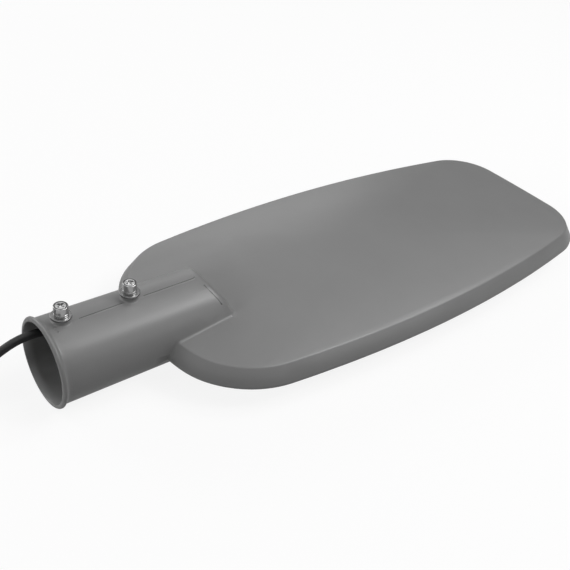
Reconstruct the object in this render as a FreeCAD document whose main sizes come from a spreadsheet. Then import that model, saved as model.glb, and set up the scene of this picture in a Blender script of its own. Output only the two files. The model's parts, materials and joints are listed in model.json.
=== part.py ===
import FreeCAD, Part
import math
import os
import Sketcher
from FreeCAD import Placement, Rotation, Vector

# Street light head: one aluminium casting with its pole socket, a glass window and a gear bay below.
# Millimetres. The origin is the centre of the socket's mouth, +X runs along the socket to the far
# end of the head and +Z is up, away from the road. The head is symmetrical about the XZ plane.

SIZES = (
    ("tube_radius", 33.0, "socket tube, outside"),
    ("tube_draft", 0.7, "how much thinner the tube is at its inner end"),
    ("bead_proud", 2.3, "bead round the mouth over the tube, level with the belly's flat"),
    ("bead_width", 3.2, "the bead along the tube"),
    ("bead_flare", 3.4, "slope behind the bead"),
    ("bead_round", 1.1, "rounding of the bead"),
    ("bore_radius", 30.4, "takes a 60 mm pole"),
    ("bore_depth", 92.0, "depth of the pole socket"),
    ("mouth_chamfer", 1.0, "lead-in at the mouth"),
    ("hood_end", 129.0, "where the tube's top line ends over the head"),
    ("hood_lean", 36.0, "lean of the hood's end face, degrees from upright"),
    ("hood_reach", 38.0, "how far the tube's core runs on past the hood's end"),
    ("boss_first", 16.4, "first clamp screw from the mouth"),
    ("boss_pitch", 54.2, "spacing of the two clamp screws"),
    ("boss_radius", 6.2, "clamp screw boss"),
    ("boss_height", 5.8, "clamp screw boss over the tube"),
    ("rim_back", 85.3, "head outline, nearest the mouth"),
    ("rim_end", 552.7, "head outline, far end"),
    ("half_width", 111.3, "head outline, widest half width"),
    ("side_middle", 305.0, "where the head is widest"),
    ("side_radius", 1198.0, "bulge of the long sides"),
    ("end_radius", 1500.0, "bulge of the far end"),
    ("back_radius", 600.0, "bulge of the back edge"),
    ("front_corner", 55.0, "corner radius at the far end"),
    ("back_corner", 77.0, "corner radius at the back"),
    ("rim_bottom", -12.3, "underside of the rim's upright edge"),
    ("rim_edge", 3.0, "height of the upright edge"),
    ("bevel_height", 12.0, "rise of the bevel over the edge"),
    ("bevel_inset", 7.9, "how far the bevel leans in"),
    ("hood_chamfer", 2.2, "band along the hood's end edge"),
    ("foot_round", 2.5, "fillet where tube and hood meet the head"),
    ("crease_round", 2.5, "rounding of the line between bevel and dome"),
    ("rim_round", 0.8, "rounding under the upright edge"),
    ("belly_round", 2.0, "rounding round the belly's flat"),
    ("boss_foot_round", 1.6, "fillet at the foot of a boss"),
    ("boss_top_round", 0.7, "rounding of a boss's seat"),
    ("crown", 14.1, "rise of the domed top over the bevel"),
    ("front_swell", 0.92, "how much of the room the dome's far corners take up towards its middle"),
    ("back_swell", 0.75, "how much of the room the dome's back corners take up towards its middle"),
    ("belly_inset", 33.0, "how far the belly's flat is inside the rim"),
    ("wall", 4.0, "wall of the casting"),
    ("bulkhead", 16.0, "solid metal between the socket and the gear bay"),
    ("divider", 7.0, "wall between the gear bay and the lamp bay"),
    ("floor_wall", 4.3, "ledge that carries the glass"),
    ("bay_inset", 48.0, "gear opening inside the rim"),
    ("cover_inset", 37.5, "cover and window frame inside the rim"),
    ("screw_inset", 41.0, "line of the cover's and the frame's screws inside the rim"),
    ("fit_gap", 0.4, "clearance round covers and panes"),
    ("cover_sunk", 0.4, "covers lie this much above the belly's flat"),
    ("web_middle", 288.0, "middle of the web between the two covers"),
    ("web_half", 6.0, "half the web between the covers"),
    ("web_seat", 9.5, "ledge beside the web"),
    ("cover_thick", 3.0, "gear cover plate"),
    ("gasket_thick", 1.2, "both gaskets, pressed"),
    ("gasket_width", 3.0, "gear gasket"),
    ("frame_thick", 2.4, "window frame"),
    ("pane_near", 15.0, "window pane inside the window frame, end nearer the mouth"),
    ("pane_far", 18.2, "window pane inside the window frame, far end"),
    ("pane_side", 18.8, "window pane inside the window frame, at the head's widest"),
    ("pane_corner", 12.0, "window pane, corner radius"),
    ("pane_thick", 4.0, "toughened glass"),
    ("pane_lap", 6.0, "how much the frame and the ledge lap the pane"),
    ("lens_clear", 1.2, "air between the lens domes and the glass"),
    ("lens_rise", 2.4, "dome of each lens"),
    ("lens_radius", 6.3, "foot of each lens"),
    ("lens_plate", 1.4, "lens plate"),
    ("chip_side", 3.4, "lamp chip"),
    ("chip_thick", 0.8, "lamp chip, up to the lens plate"),
    ("chip_rows", 4, "rows of chips across the head"),
    ("chip_columns", 8, "chips in each row"),
    ("chip_pitch_x", 18.0, "chip spacing along the head"),
    ("chip_pitch_y", 14.0, "chip spacing across the head"),
    ("board_thick", 1.6, "lamp board"),
    ("board_margin", 19.0, "board edge inside the pane's edge"),
    ("pad_thick", 0.5, "heat pad"),
    ("tray_thick", 3.0, "lamp tray"),
    ("tray_margin", 9.0, "tray edge inside the pane's edge"),
    ("pillar_radius", 5.0, "pillars that carry the tray and the gear"),
    ("pillar_inset", 6.0, "tray screws inside the tray's corners"),
    ("gear_drop", 5.4, "seat of the driver below the rim's crease level"),
    ("driver_start", 146.0, "driver, end nearer the mouth"),
    ("driver_length", 122.0, "driver with its fixing ears"),
    ("driver_width", 54.0, "driver"),
    ("driver_height", 20.0, "driver"),
    ("driver_side", -24.0, "middle of the driver across the head"),
    ("ear_length", 8.0, "fixing ear at each end of the driver, block and protector"),
    ("ear_thick", 2.0, "fixing ear"),
    ("surge_length", 50.0, "surge protector with its fixing ears"),
    ("surge_width", 26.0, "surge protector"),
    ("surge_height", 18.0, "surge protector"),
    ("block_length", 50.0, "terminal block with its fixing ears"),
    ("block_width", 18.0, "terminal block"),
    ("block_height", 13.0, "terminal block"),
    ("block_shift", 6.0, "terminal block starts this far past the driver's near end"),
    ("earth_shift", 8.0, "earth screw beside the middle of the terminal block"),
    ("gear_side", 28.0, "middle of the terminal block and surge protector across the head"),
    ("cable_radius", 3.2, "supply cable"),
    ("lead_radius", 1.1, "inner leads"),
    ("gland_y", 13.0, "cable gland, sideways from the socket's axis"),
    ("gland_z", -7.0, "cable gland, height from the socket's axis"),
    ("gland_screwed", 9.0, "length of the gland's thread in the casting"),
    ("gland_thread", 6.0, "radius of the gland's threaded end"),
    ("gland_hex", 5.0, "length of the gland's hexagon"),
    ("gland_nut", 14.0, "length of the domed nut"),
    ("gland_flats", 17.0, "width across the gland's flats"),
    ("clamp_shank", 3.0, "clamp screw, thread radius"),
    ("clamp_head", 5.3, "clamp screw, head radius"),
    ("clamp_head_high", 4.8, "clamp screw, head height"),
    ("clamp_head_round", 0.8, "clamp screw, bevel round the head's top"),
    ("clamp_tip", 0.5, "clamp screw stops this short of the bore"),
    ("spring_thick", 1.6, "spring washer"),
    ("flat_thick", 1.4, "flat washer"),
    ("flat_radius", 7.7, "flat washer"),
    ("hole_gap", 0.15, "clearance of a screw in its hole"),
    ("small_shank", 1.5, "small screws, thread radius"),
    ("small_head", 2.8, "small screws, head radius"),
    ("small_head_high", 1.6, "small screws, head height"),
    ("small_bite", 6.6, "small screws, thread length in metal"),
    ("board_screw_in", 4.0, "lamp board screws inside the board's edge"),
    ("cover_screw_start", 152.3, "first pair of gear cover screws along the head"),
    ("cover_screw_end", 8.0, "last pair of gear cover screws before the seat beside the web"),
    ("web_screw_in", 4.6, "gear cover screws beside the web"),
    ("cover_screw_side", 34.0, "gear cover screws beside the web, across the head"),
    ("frame_screw_start", 12.0, "first pair of frame screws along the pane"),
    ("frame_screw_reach", 104.0, "last pair of frame screws after the first"),
    ("frame_screw_side", 23.0, "frame screws before and past the pane, across the head"),
)

doc = FreeCAD.newDocument("street_light_head")
sheet = doc.addObject("Spreadsheet::Sheet", "Sizes")
for row, (alias, value, note) in enumerate(SIZES, start=1):
    sheet.set("A%d" % row, alias)
    sheet.set("B%d" % row, str(value))
    sheet.setAlias("B%d" % row, alias)
    sheet.set("C%d" % row, note)
doc.recompute()
nodes = {}


class Size:
    """The sheet's values, read by name."""

    def __getattr__(self, alias):
        return float(sheet.get(alias))


S = Size()
BEAD_RADIUS = "(Sizes.tube_radius + Sizes.bead_proud)"
FLOOR = "(-%s)" % BEAD_RADIUS


def worked(text):
    """The number that an expression on the sheet's names stands for."""
    value = sheet.evalExpression(text)
    return float(getattr(value, "Value", value))


def plane(body, role):
    return next(f for f in body.Origin.OriginFeatures if f.Role == role)


def new_body(label):
    body = doc.addObject("PartDesign::Body", label)
    body.Label = label
    return body


def new_sketch(body, label, role="XY_Plane", offset="0"):
    """A sketch on one of its own body's origin planes, moved along that plane's normal."""
    sketch = body.newObject("Sketcher::SketchObject", label)
    sketch.AttachmentSupport = [(plane(body, role), "")]
    sketch.MapMode = "FlatFace"
    sketch.setExpression("AttachmentOffset.Base.z", offset)
    return sketch


def bind(sketch, kind, *where, value, expression):
    index = sketch.addConstraint(Sketcher.Constraint(kind, *where, value))
    sketch.setExpression("Constraints[%d]" % index, expression)


SIDE_FALL = "pow(Sizes.side_middle - (%s); 2) / (2 * Sizes.side_radius)"
ROOM = {
    "front": "(Sizes.half_width - Sizes.front_corner - %s)"
    % (SIDE_FALL % "Sizes.rim_end - Sizes.front_corner"),
    "back": "(Sizes.half_width - Sizes.back_corner - %s)"
    % (SIDE_FALL % "Sizes.rim_back + Sizes.back_corner"),
}


def corner_centre(first, first_radius, second, second_radius, radius):
    """Centre, above the axis, of an arc that touches two larger arcs from inside."""
    a, b = first_radius - radius, second_radius - radius
    line = second - first
    along = (a * a - b * b + line.Length**2) / (2 * line.Length)
    across = math.sqrt(a * a - along * along)
    unit = line / line.Length
    foot = first + unit * along
    turned = Vector(-unit.y, unit.x, 0) * across
    return max(foot + turned, foot - turned, key=lambda p: p.y)


def outline_arcs(inset, scale):
    """Centres and radii of the outline's arcs above the axis: end, front corner, side, back corner, back."""
    end, side, back = S.end_radius - inset, S.side_radius - inset, S.back_radius - inset
    front_corner = S.front_corner - inset + S.front_swell * worked(ROOM["front"]) * (1 - scale)
    back_corner = S.back_corner - inset + S.back_swell * worked(ROOM["back"]) * (1 - scale)
    end_centre = Vector(S.rim_end - S.end_radius, 0, 0)
    side_centre = Vector(S.side_middle, S.half_width - S.side_radius, 0)
    back_centre = Vector(S.rim_back + S.back_radius, 0, 0)
    arcs = (
        (end_centre, end),
        (corner_centre(end_centre, end, side_centre, side, front_corner), front_corner),
        (side_centre, side),
        (corner_centre(back_centre, back, side_centre, side, back_corner), back_corner),
        (back_centre, back),
    )
    middle = Vector(S.side_middle, 0, 0)
    return [(middle + (centre - middle) * scale, radius * scale) for centre, radius in arcs]


def between(first, second):
    """Angle, seen from the smaller arc's centre, at which two touching arcs meet."""
    (big, big_radius), (small, small_radius) = sorted((first, second), key=lambda arc: -arc[1])
    away = small - big
    return math.atan2(away.y, away.x)


def outline_sketch(body, label, offset, inset="0", scale="1"):
    """The head's outline of eight touching arcs, moved in by inset and shrunk about its middle."""
    sketch = new_sketch(body, label, "XY_Plane", offset)
    upper = outline_arcs(worked(inset), worked(scale))
    joints = [between(upper[i], upper[i + 1]) for i in range(4)]
    mirrored = [(Vector(c.x, -c.y, 0), r) for c, r in upper]
    turns = [
        (upper[0], -joints[0], joints[0]),
        (upper[1], joints[0], joints[1]),
        (upper[2], joints[1], joints[2]),
        (upper[3], joints[2], joints[3]),
        (upper[4], joints[3], 2 * math.pi - joints[3]),
        (mirrored[3], 2 * math.pi - joints[3], 2 * math.pi - joints[2]),
        (mirrored[2], 2 * math.pi - joints[2], 2 * math.pi - joints[1]),
        (mirrored[1], 2 * math.pi - joints[1], 2 * math.pi - joints[0]),
    ]
    for (centre, radius), start, end in turns:
        circle = Part.Circle(centre, Vector(0, 0, 1), radius)
        sketch.addGeometry(Part.ArcOfCircle(circle, start, end), False)
    count = len(turns)
    for i in range(count):
        sketch.addConstraint(Sketcher.Constraint("Tangent", i, 2, (i + 1) % count, 1))
    names = ("end_radius", "front_corner", "side_radius", "back_corner", "back_radius")
    for i, name in enumerate(names):
        swell = ""
        if "corner" in name:
            end = name.split("_")[0]
            swell = " + Sizes.%s_swell * %s * (1 - %s)" % (end, ROOM[end], scale)
        text = "(Sizes.%s - (%s)%s) * %s" % (name, inset, swell, scale)
        bind(sketch, "Radius", i, value=upper[i][1], expression=text)
    for high, low in ((1, 7), (2, 6), (3, 5)):
        sketch.addConstraint(Sketcher.Constraint("Equal", high, low))
    moved = "Sizes.side_middle + (%s - Sizes.side_middle) * (" + scale + ")"
    for i, text in ((0, "Sizes.rim_end - Sizes.end_radius"), (4, "Sizes.rim_back + Sizes.back_radius")):
        sketch.addConstraint(Sketcher.Constraint("PointOnObject", i, 3, -1))
        bind(sketch, "DistanceX", -1, 1, i, 3, value=upper[i][0].x, expression=moved % ("(" + text + ")"))
    bind(sketch, "DistanceX", -1, 1, 2, 3, value=upper[2][0].x, expression="Sizes.side_middle")
    lowered = "(Sizes.half_width - Sizes.side_radius) * (%s)" % scale
    bind(sketch, "DistanceY", -1, 1, 2, 3, value=upper[2][0].y, expression=lowered)
    sketch.addConstraint(Sketcher.Constraint("Symmetric", 2, 3, 6, 3, -1))
    return sketch


def add_rounded_rectangle(sketch, x0, x1, half, corner):
    """A rectangle with round corners, even about the sketch's own X axis."""
    a, b, w, r = (worked(text) for text in (x0, x1, half, corner))
    first = sketch.GeometryCount
    ends = (
        (Vector(a + r, -w, 0), Vector(b - r, -w, 0)),
        (Vector(b, -w + r, 0), Vector(b, w - r, 0)),
        (Vector(b - r, w, 0), Vector(a + r, w, 0)),
        (Vector(a, w - r, 0), Vector(a, -w + r, 0)),
    )
    corners = ((b - r, -w + r), (b - r, w - r), (a + r, w - r), (a + r, -w + r))
    centres = [Vector(x, y, 0) for x, y in corners]
    for i in range(4):
        sketch.addGeometry(Part.LineSegment(*ends[i]), False)
        circle = Part.Circle(centres[i], Vector(0, 0, 1), r)
        start = (i - 1) * math.pi / 2
        sketch.addGeometry(Part.ArcOfCircle(circle, start, start + math.pi / 2), False)
    for i in range(8):
        sketch.addConstraint(Sketcher.Constraint("Tangent", first + i, 2, first + (i + 1) % 8, 1))
    for i in (0, 4):
        sketch.addConstraint(Sketcher.Constraint("Horizontal", first + i))
        sketch.addConstraint(Sketcher.Constraint("Vertical", first + i + 2))
    for i in (3, 5, 7):
        sketch.addConstraint(Sketcher.Constraint("Equal", first + 1, first + i))
    bind(sketch, "Radius", first + 1, value=r, expression=corner)
    bind(sketch, "DistanceX", -1, 1, first + 6, 1, value=a, expression=x0)
    bind(sketch, "DistanceX", -1, 1, first + 2, 1, value=b, expression=x1)
    bind(sketch, "DistanceY", -1, 1, first + 4, 1, value=w, expression=half)
    bind(sketch, "DistanceY", -1, 1, first, 1, value=-w, expression="-(%s)" % half)


def add_circle(sketch, x, y, radius):
    u, v, r = worked(x), worked(y), worked(radius)
    index = sketch.addGeometry(Part.Circle(Vector(u, v, 0), Vector(0, 0, 1), r), False)
    bind(sketch, "Radius", index, value=r, expression=radius)
    bind(sketch, "DistanceX", -1, 1, index, 3, value=u, expression=x)
    bind(sketch, "DistanceY", -1, 1, index, 3, value=v, expression=y)


def add_polygon(sketch, corners):
    """A closed line through corners given as pairs of expressions."""
    points = [Vector(worked(x), worked(y), 0) for x, y in corners]
    first, count = sketch.GeometryCount, len(corners)
    for i in range(count):
        sketch.addGeometry(Part.LineSegment(points[i], points[(i + 1) % count]), False)
    for i in range(count):
        sketch.addConstraint(Sketcher.Constraint("Coincident", first + i, 2, first + (i + 1) % count, 1))
    for i, (x, y) in enumerate(corners):
        bind(sketch, "DistanceX", -1, 1, first + i, 1, value=points[i].x, expression=x)
        bind(sketch, "DistanceY", -1, 1, first + i, 1, value=points[i].y, expression=y)


def feature(body, kind, label, sketch, length=None, backwards=False, axis=None):
    """A pad, pocket, revolution or groove of one sketch."""
    made = body.newObject("PartDesign::" + kind, label)
    made.Profile = sketch
    if length:
        made.setExpression("Length", length)
    if axis:
        made.ReferenceAxis = (sketch, [axis])
        made.Angle = 360.0
    made.Reversed = backwards
    body.Tip = made
    return made


def loft(body, label, sketches, straight):
    made = body.newObject("PartDesign::AdditiveLoft", label)
    made.Profile = sketches[0]
    made.Sections = sketches[1:]
    made.Ruled = straight
    body.Tip = made
    return made


def turned(label, corners):
    """A body turned about its own Z axis from a half profile of (radius, height) pairs."""
    body = new_body(label)
    sketch = new_sketch(body, label + "_profile", "XZ_Plane")
    add_polygon(sketch, corners)
    feature(body, "Revolution", label + "_turned", sketch, axis="V_Axis")
    return body


def plate(label, x0, x1, half, corner, bottom, thick, hole=None):
    """A flat body with round corners, lying along the head, and a like hole in it where one is given."""
    body = new_body(label)
    sketch = new_sketch(body, label + "_outline", "XY_Plane", bottom)
    add_rounded_rectangle(sketch, x0, x1, half, corner)
    if hole:
        add_rounded_rectangle(sketch, *hole)
    feature(body, "Pad", label + "_plate", sketch, thick)
    return body


def square_ends(body, label, low_x, high_x, bottom, high):
    """Cuts a body off square before low_x and past high_x, where they are given."""
    near, far = "-Sizes.half_width", "Sizes.half_width"
    for end, x, edge in (("low", low_x, "Sizes.rim_back"), ("high", high_x, "Sizes.rim_end")):
        if x:
            trim = new_sketch(body, label + "_trim_" + end, "XY_Plane", bottom)
            add_polygon(trim, ((x, near), (edge, near), (edge, far), (x, far)))
            feature(body, "Pocket", label + "_square_" + end, trim, high, backwards=True)


def bay(label, inset, low_x, high_x, bottom, high):
    """A prism of the outline moved in by inset and cut square at low_x and high_x where they are given."""
    body = new_body(label)
    outline = outline_sketch(body, label + "_outline", bottom, inset)
    feature(body, "Pad", label + "_prism", outline, high)
    square_ends(body, label, low_x, high_x, bottom, high)
    return body


def cut(label, base, *tools):
    """The base with the tools taken out of it."""
    tool = tools[0]
    if len(tools) > 1:
        tool = doc.addObject("Part::MultiFuse", label + "_tools")
        tool.Shapes = list(tools)
    made = doc.addObject("Part::Cut", label)
    made.Base = base
    made.Tool = tool
    made.Label = label
    return made


def upright_cylinder(label, x, y, bottom, radius, high):
    made = doc.addObject("Part::Cylinder", label)
    for prop, text in (("Radius", radius), ("Height", high)):
        made.setExpression(prop, text)
    for axis, text in (("x", x), ("y", y), ("z", bottom)):
        made.setExpression("Placement.Base." + axis, text)
    return made


def copies(label, pattern, places):
    """One node of separate solids: the pattern at each place."""
    doc.recompute()
    made = doc.addObject("Part::Feature", label)
    made.Label = label
    solids = []
    for place in places:
        shape = pattern.Shape.copy()
        shape.Placement = place.multiply(shape.Placement)
        solids.extend(shape.Solids)
    made.Shape = Part.makeCompound(solids)
    return made


def at(x, y, z):
    return Placement(Vector(x, y, z), Rotation())


# The casting's outside: socket tube with its bead and hood, then the head with bevel, dome and belly.
housing = new_body("housing_form")
hood_low = "(Sizes.tube_radius - Sizes.tube_draft)"
tube_end = "(Sizes.hood_end + Sizes.hood_reach)"
profile = new_sketch(housing, "tube_profile", "XZ_Plane")
add_polygon(
    profile,
    (
        ("0", "0"),
        ("0", BEAD_RADIUS),
        ("Sizes.bead_width", BEAD_RADIUS),
        ("Sizes.bead_width + Sizes.bead_flare", "Sizes.tube_radius"),
        (tube_end, hood_low),
        (tube_end, "0"),
    ),
)
feature(housing, "Revolution", "tube", profile, axis="H_Axis")
lean = "tan(Sizes.hood_lean)"
slope = new_sketch(housing, "hood_end_profile", "XZ_Plane", FLOOR)
OVER = 4
add_polygon(
    slope,
    (
        ("Sizes.hood_end - %d * %s" % (OVER, lean), "Sizes.tube_radius + %d" % OVER),
        ("Sizes.hood_end + (Sizes.tube_radius - %s) * %s" % (FLOOR, lean), FLOOR),
        ("%s + %d" % (tube_end, OVER), FLOOR),
        ("%s + %d" % (tube_end, OVER), "Sizes.tube_radius + %d" % OVER),
    ),
)
feature(housing, "Pocket", "hood_end_slope", slope, "2 * " + BEAD_RADIUS, backwards=True)
boss_top = "(Sizes.tube_radius + Sizes.boss_height)"
bosses = new_sketch(housing, "boss_outline", "XY_Plane", boss_top)
BOSS_PLACES = ("Sizes.boss_first", "Sizes.boss_first + Sizes.boss_pitch")
for place in BOSS_PLACES:
    add_circle(bosses, place, "0", "Sizes.boss_radius")
boss_deep = "Sizes.boss_height + Sizes.tube_radius * 0.4"
feature(housing, "Pad", "clamp_bosses", bosses, boss_deep, backwards=True)
EDGE_TOP = "(Sizes.rim_bottom + Sizes.rim_edge)"
CREASE = "(Sizes.rim_bottom + Sizes.rim_edge + Sizes.bevel_height)"
edge = outline_sketch(housing, "edge_outline", "Sizes.rim_bottom")
feature(housing, "Pad", "rim_upright_edge", edge, "Sizes.rim_edge")
lower = outline_sketch(housing, "bevel_foot", EDGE_TOP)
upper = outline_sketch(housing, "bevel_crease", CREASE, "Sizes.bevel_inset")
loft(housing, "bevel", [lower, upper], straight=True)
top = outline_sketch(housing, "belly_top", "Sizes.rim_bottom")
flat = outline_sketch(housing, "belly_flat", FLOOR, "Sizes.belly_inset")
loft(housing, "belly", [top, flat], straight=True)
DOME_STEPS = (1.0, 0.85, 0.65, 0.4, 0.15, 0.04)


def dome(body, label, base, inset):
    """The domed top: the outline shrunk step by step while it rises along a parabola."""
    rings = []
    for number, scale in enumerate(DOME_STEPS):
        height = "%s + Sizes.crown * (1 - %s * %s)" % (base, scale, scale)
        rings.append(outline_sketch(body, "%s_ring_%d" % (label, number), height, inset, str(scale)))
    return loft(body, label, rings, straight=False)


dome(housing, "dome", CREASE, "Sizes.bevel_inset")


def edges_at(made, points):
    """Names of the feature's edges that pass nearest to the points."""
    doc.recompute()
    edges = made.Shape.Edges
    names = []
    for point in points:
        spot = Part.Vertex(point)
        nearest = min(range(len(edges)), key=lambda i: edges[i].distToShape(spot)[0])
        names.append("Edge%d" % (nearest + 1))
    return sorted(set(names))


def dress(kind, label, points, size, prop):
    """A Fillet or Chamfer of the housing's last feature, on the edges at the points."""
    base = housing.Tip
    made = housing.newObject("PartDesign::" + kind, label)
    made.Base = (base, edges_at(base, points))
    made.setExpression(prop, size)
    housing.Tip = made
    return made


def outline_spots(inset, height):
    """The middle of each arc of the outline outside the tube, at the given inset and height."""
    arcs = outline_arcs(inset, 1.0)
    joints = [between(arcs[i], arcs[i + 1]) for i in range(4)]
    centre, radius = arcs[0]
    spots_on = [Vector(centre.x + radius, 0, height)]
    for number in (1, 2, 3):
        centre, radius = arcs[number]
        middle = (joints[number - 1] + joints[number]) / 2
        x, y = centre.x + radius * math.cos(middle), centre.y + radius * math.sin(middle)
        spots_on += [Vector(x, y, height), Vector(x, -y, height)]
    return spots_on


def dome_height(x):
    """Height of the dome over the back part of its middle line."""
    crease_back = S.rim_back + S.bevel_inset
    share = (S.side_middle - x) / (S.side_middle - crease_back)
    return worked(CREASE) + S.crown * (1 - share**2)


def on_tube(x, z):
    radius = S.tube_radius - S.tube_draft * x / worked(tube_end)
    y = math.sqrt(radius**2 - z**2)
    return [Vector(x, y, z), Vector(x, -y, z)]


# Spots on the edges that are rounded.
HIGH_ON_TUBE = 0.8
FOOT_SHARE = 0.76
slope_run = math.tan(math.radians(S.hood_lean))
end_high = S.tube_radius * HIGH_ON_TUBE
hood_top_edge = on_tube(S.hood_end + slope_run * (S.tube_radius - end_high), end_high)
foot_x = S.hood_end + slope_run * S.tube_radius * FOOT_SHARE
foot_half = S.tube_radius * FOOT_SHARE
hood_foot = [Vector(foot_x, y, dome_height(foot_x)) for y in (-foot_half, 0, foot_half)]
beside_x = (S.rim_back + S.bevel_inset + foot_x) / 2
tube_beside = on_tube(beside_x, dome_height(beside_x))
bevel_beside = [
    spot
    for share in (0.15, 0.85)
    for spot in on_tube(S.rim_back + S.bevel_inset * share, worked(EDGE_TOP) + S.bevel_height * share)
]
boss_x = [worked(place) for place in BOSS_PLACES]
boss_feet = [Vector(x, y, S.tube_radius) for x in boss_x for y in (-S.boss_radius, S.boss_radius)]
boss_rims = [Vector(x, S.boss_radius, worked(boss_top)) for x in boss_x]
bead_edges = [Vector(x, 0, worked(BEAD_RADIUS)) for x in (0, S.bead_width)]
crease_edges = outline_spots(S.bevel_inset, worked(CREASE))
belly_edges = outline_spots(S.belly_inset, worked(FLOOR))
dress("Fillet", "crease_rounding", crease_edges, "Sizes.crease_round", "Radius")
dress("Chamfer", "hood_end_band", hood_top_edge, "Sizes.hood_chamfer", "Size")
dress("Fillet", "hood_foot", hood_foot + tube_beside + bevel_beside, "Sizes.foot_round", "Radius")
dress("Fillet", "rim_rounding", outline_spots(0, S.rim_bottom), "Sizes.rim_round", "Radius")
dress("Fillet", "belly_rounding", belly_edges, "Sizes.belly_round", "Radius")
dress("Fillet", "boss_feet", boss_feet, "Sizes.boss_foot_round", "Radius")
dress("Fillet", "boss_seats", boss_rims, "Sizes.boss_top_round", "Radius")
dress("Fillet", "bead_rounding", bead_edges, "Sizes.bead_round", "Radius")

# Levels of what closes the belly, from the floor up.
COVER_FACE = FLOOR + " + Sizes.cover_sunk"
COVER_TOP = COVER_FACE + " + Sizes.cover_thick"
COVER_LEDGE = COVER_TOP + " + Sizes.gasket_thick"
FRAME_TOP = COVER_FACE + " + Sizes.frame_thick"
PANE_TOP = FRAME_TOP + " + Sizes.pane_thick"
PANE_LEDGE = PANE_TOP + " + Sizes.gasket_thick"
BAY_FLOOR = PANE_LEDGE + " + Sizes.floor_wall"
LENS_FOOT = PANE_TOP + " + Sizes.lens_clear + Sizes.lens_rise"
LENS_TOP = LENS_FOOT + " + Sizes.lens_plate"
BOARD_FACE = LENS_TOP + " + Sizes.chip_thick"
PAD_FACE = BOARD_FACE + " + Sizes.board_thick"
TRAY_FACE = PAD_FACE + " + Sizes.pad_thick"
TRAY_TOP = TRAY_FACE + " + Sizes.tray_thick"
GEAR_SEAT = CREASE + " - Sizes.gear_drop"

# Places along the head.
BAY_START = "Sizes.bore_depth + Sizes.bulkhead"
BAY_END = "Sizes.web_middle - Sizes.divider / 2"
LAMP_START = "Sizes.web_middle + Sizes.divider / 2"
COVER_END = "Sizes.web_middle - Sizes.web_half"
FRAME_START = "Sizes.web_middle + Sizes.web_half"
GEAR_OPENING_END = COVER_END + " - Sizes.web_seat"
PANE_START = "Sizes.web_middle + Sizes.web_half + Sizes.pane_near"
PANE_END = "Sizes.rim_end - Sizes.cover_inset - Sizes.pane_far"
PANE_HALF = "(Sizes.half_width - Sizes.cover_inset - Sizes.pane_side)"


def hollow(label, low_x, high_x):
    """The casting's inside between two places along the head, an even wall within its outside."""
    body = new_body(label)
    fall = "(Sizes.rim_bottom - %s)" % FLOOR
    belly_wall = "Sizes.wall * sqrt(1 + pow(Sizes.belly_inset / %s; 2))" % fall
    bevel_wall = "Sizes.bevel_inset + Sizes.wall * sqrt(1 + pow(Sizes.bevel_inset / Sizes.bevel_height; 2))"
    at_floor = belly_wall + " + Sizes.belly_inset * (Sizes.rim_bottom - (%s)) / %s" % (BAY_FLOOR, fall)
    under_dome = CREASE + " - Sizes.wall"
    floor_ring = outline_sketch(body, label + "_floor", BAY_FLOOR, at_floor)
    rim_ring = outline_sketch(body, label + "_rim", "Sizes.rim_bottom", belly_wall)
    loft(body, label + "_sides", [floor_ring, rim_ring], straight=True)
    rim_again = outline_sketch(body, label + "_rim_again", "Sizes.rim_bottom", belly_wall)
    dome_ring = outline_sketch(body, label + "_dome_ring", under_dome, bevel_wall)
    loft(body, label + "_shoulder", [rim_again, dome_ring], straight=True)
    dome(body, label + "_dome", under_dome, bevel_wall)
    square_ends(body, label, low_x, high_x, BAY_FLOOR, "Sizes.crown - Sizes.rim_bottom - " + FLOOR)
    return body


hollow_gear = hollow("gear_bay_space", BAY_START, BAY_END)
hollow_lamp = hollow("lamp_bay_space", LAMP_START, None)


def in_line(first, last, count):
    return [first + (last - first) * i / (count - 1) for i in range(count)]


def rim_half(x, inset):
    """Half width of the outline at x, moved in by inset."""
    end, front, side, back, _ = outline_arcs(inset, 1.0)
    low, high = (p[0].x + p[1] * math.cos(between(p, side)) for p in (back, front))
    centre, radius = side if low <= x <= high else (back if x < low else front)
    return centre.y + math.sqrt(radius**2 - (x - centre.x) ** 2)


# Screw places, worked out from the sizes: (x, y) pairs.
tray_inside = S.tray_margin + S.pillar_inset
pane_start, pane_end, pane_half = worked(PANE_START), worked(PANE_END), worked(PANE_HALF)
tray_ends = (pane_start + tray_inside, pane_end - tray_inside)
TRAY_SCREWS = [(x, y * (pane_half - tray_inside)) for x in tray_ends for y in (-1, 1)]
board_inside = S.board_margin + S.board_screw_in
board_x = in_line(pane_start + board_inside, pane_end - board_inside, 3)
BOARD_SCREWS = [(x, y * (pane_half - board_inside)) for x in board_x for y in (-1, 1)]
cover_end, frame_start = worked(COVER_END), worked(FRAME_START)
cover_x = in_line(S.cover_screw_start, cover_end - S.web_seat - S.cover_screw_end, 3)
COVER_SCREWS = [(x, y * rim_half(x, S.screw_inset)) for x in cover_x for y in (-1, 1)]
COVER_SCREWS += [(cover_end - S.web_screw_in, y * S.cover_screw_side) for y in (-1, 1)]
frame_first = pane_start + S.frame_screw_start
frame_x = in_line(frame_first, frame_first + S.frame_screw_reach, 3)
FRAME_SCREWS = [(x, y * rim_half(x, S.screw_inset)) for x in frame_x for y in (-1, 1)]
frame_end = S.rim_end - S.cover_inset
for x in ((frame_start + pane_start) / 2, (pane_end + frame_end) / 2):
    FRAME_SCREWS += [(x, y * S.frame_screw_side) for y in (-1, 1)]
driver_end = S.driver_start + S.driver_length
BLOCK_START = S.driver_start + S.block_shift
SURGE_START = driver_end - S.surge_length


def ear_screws(start, length, side):
    return [(start + S.ear_length / 2, side), (start + length - S.ear_length / 2, side)]


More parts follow.
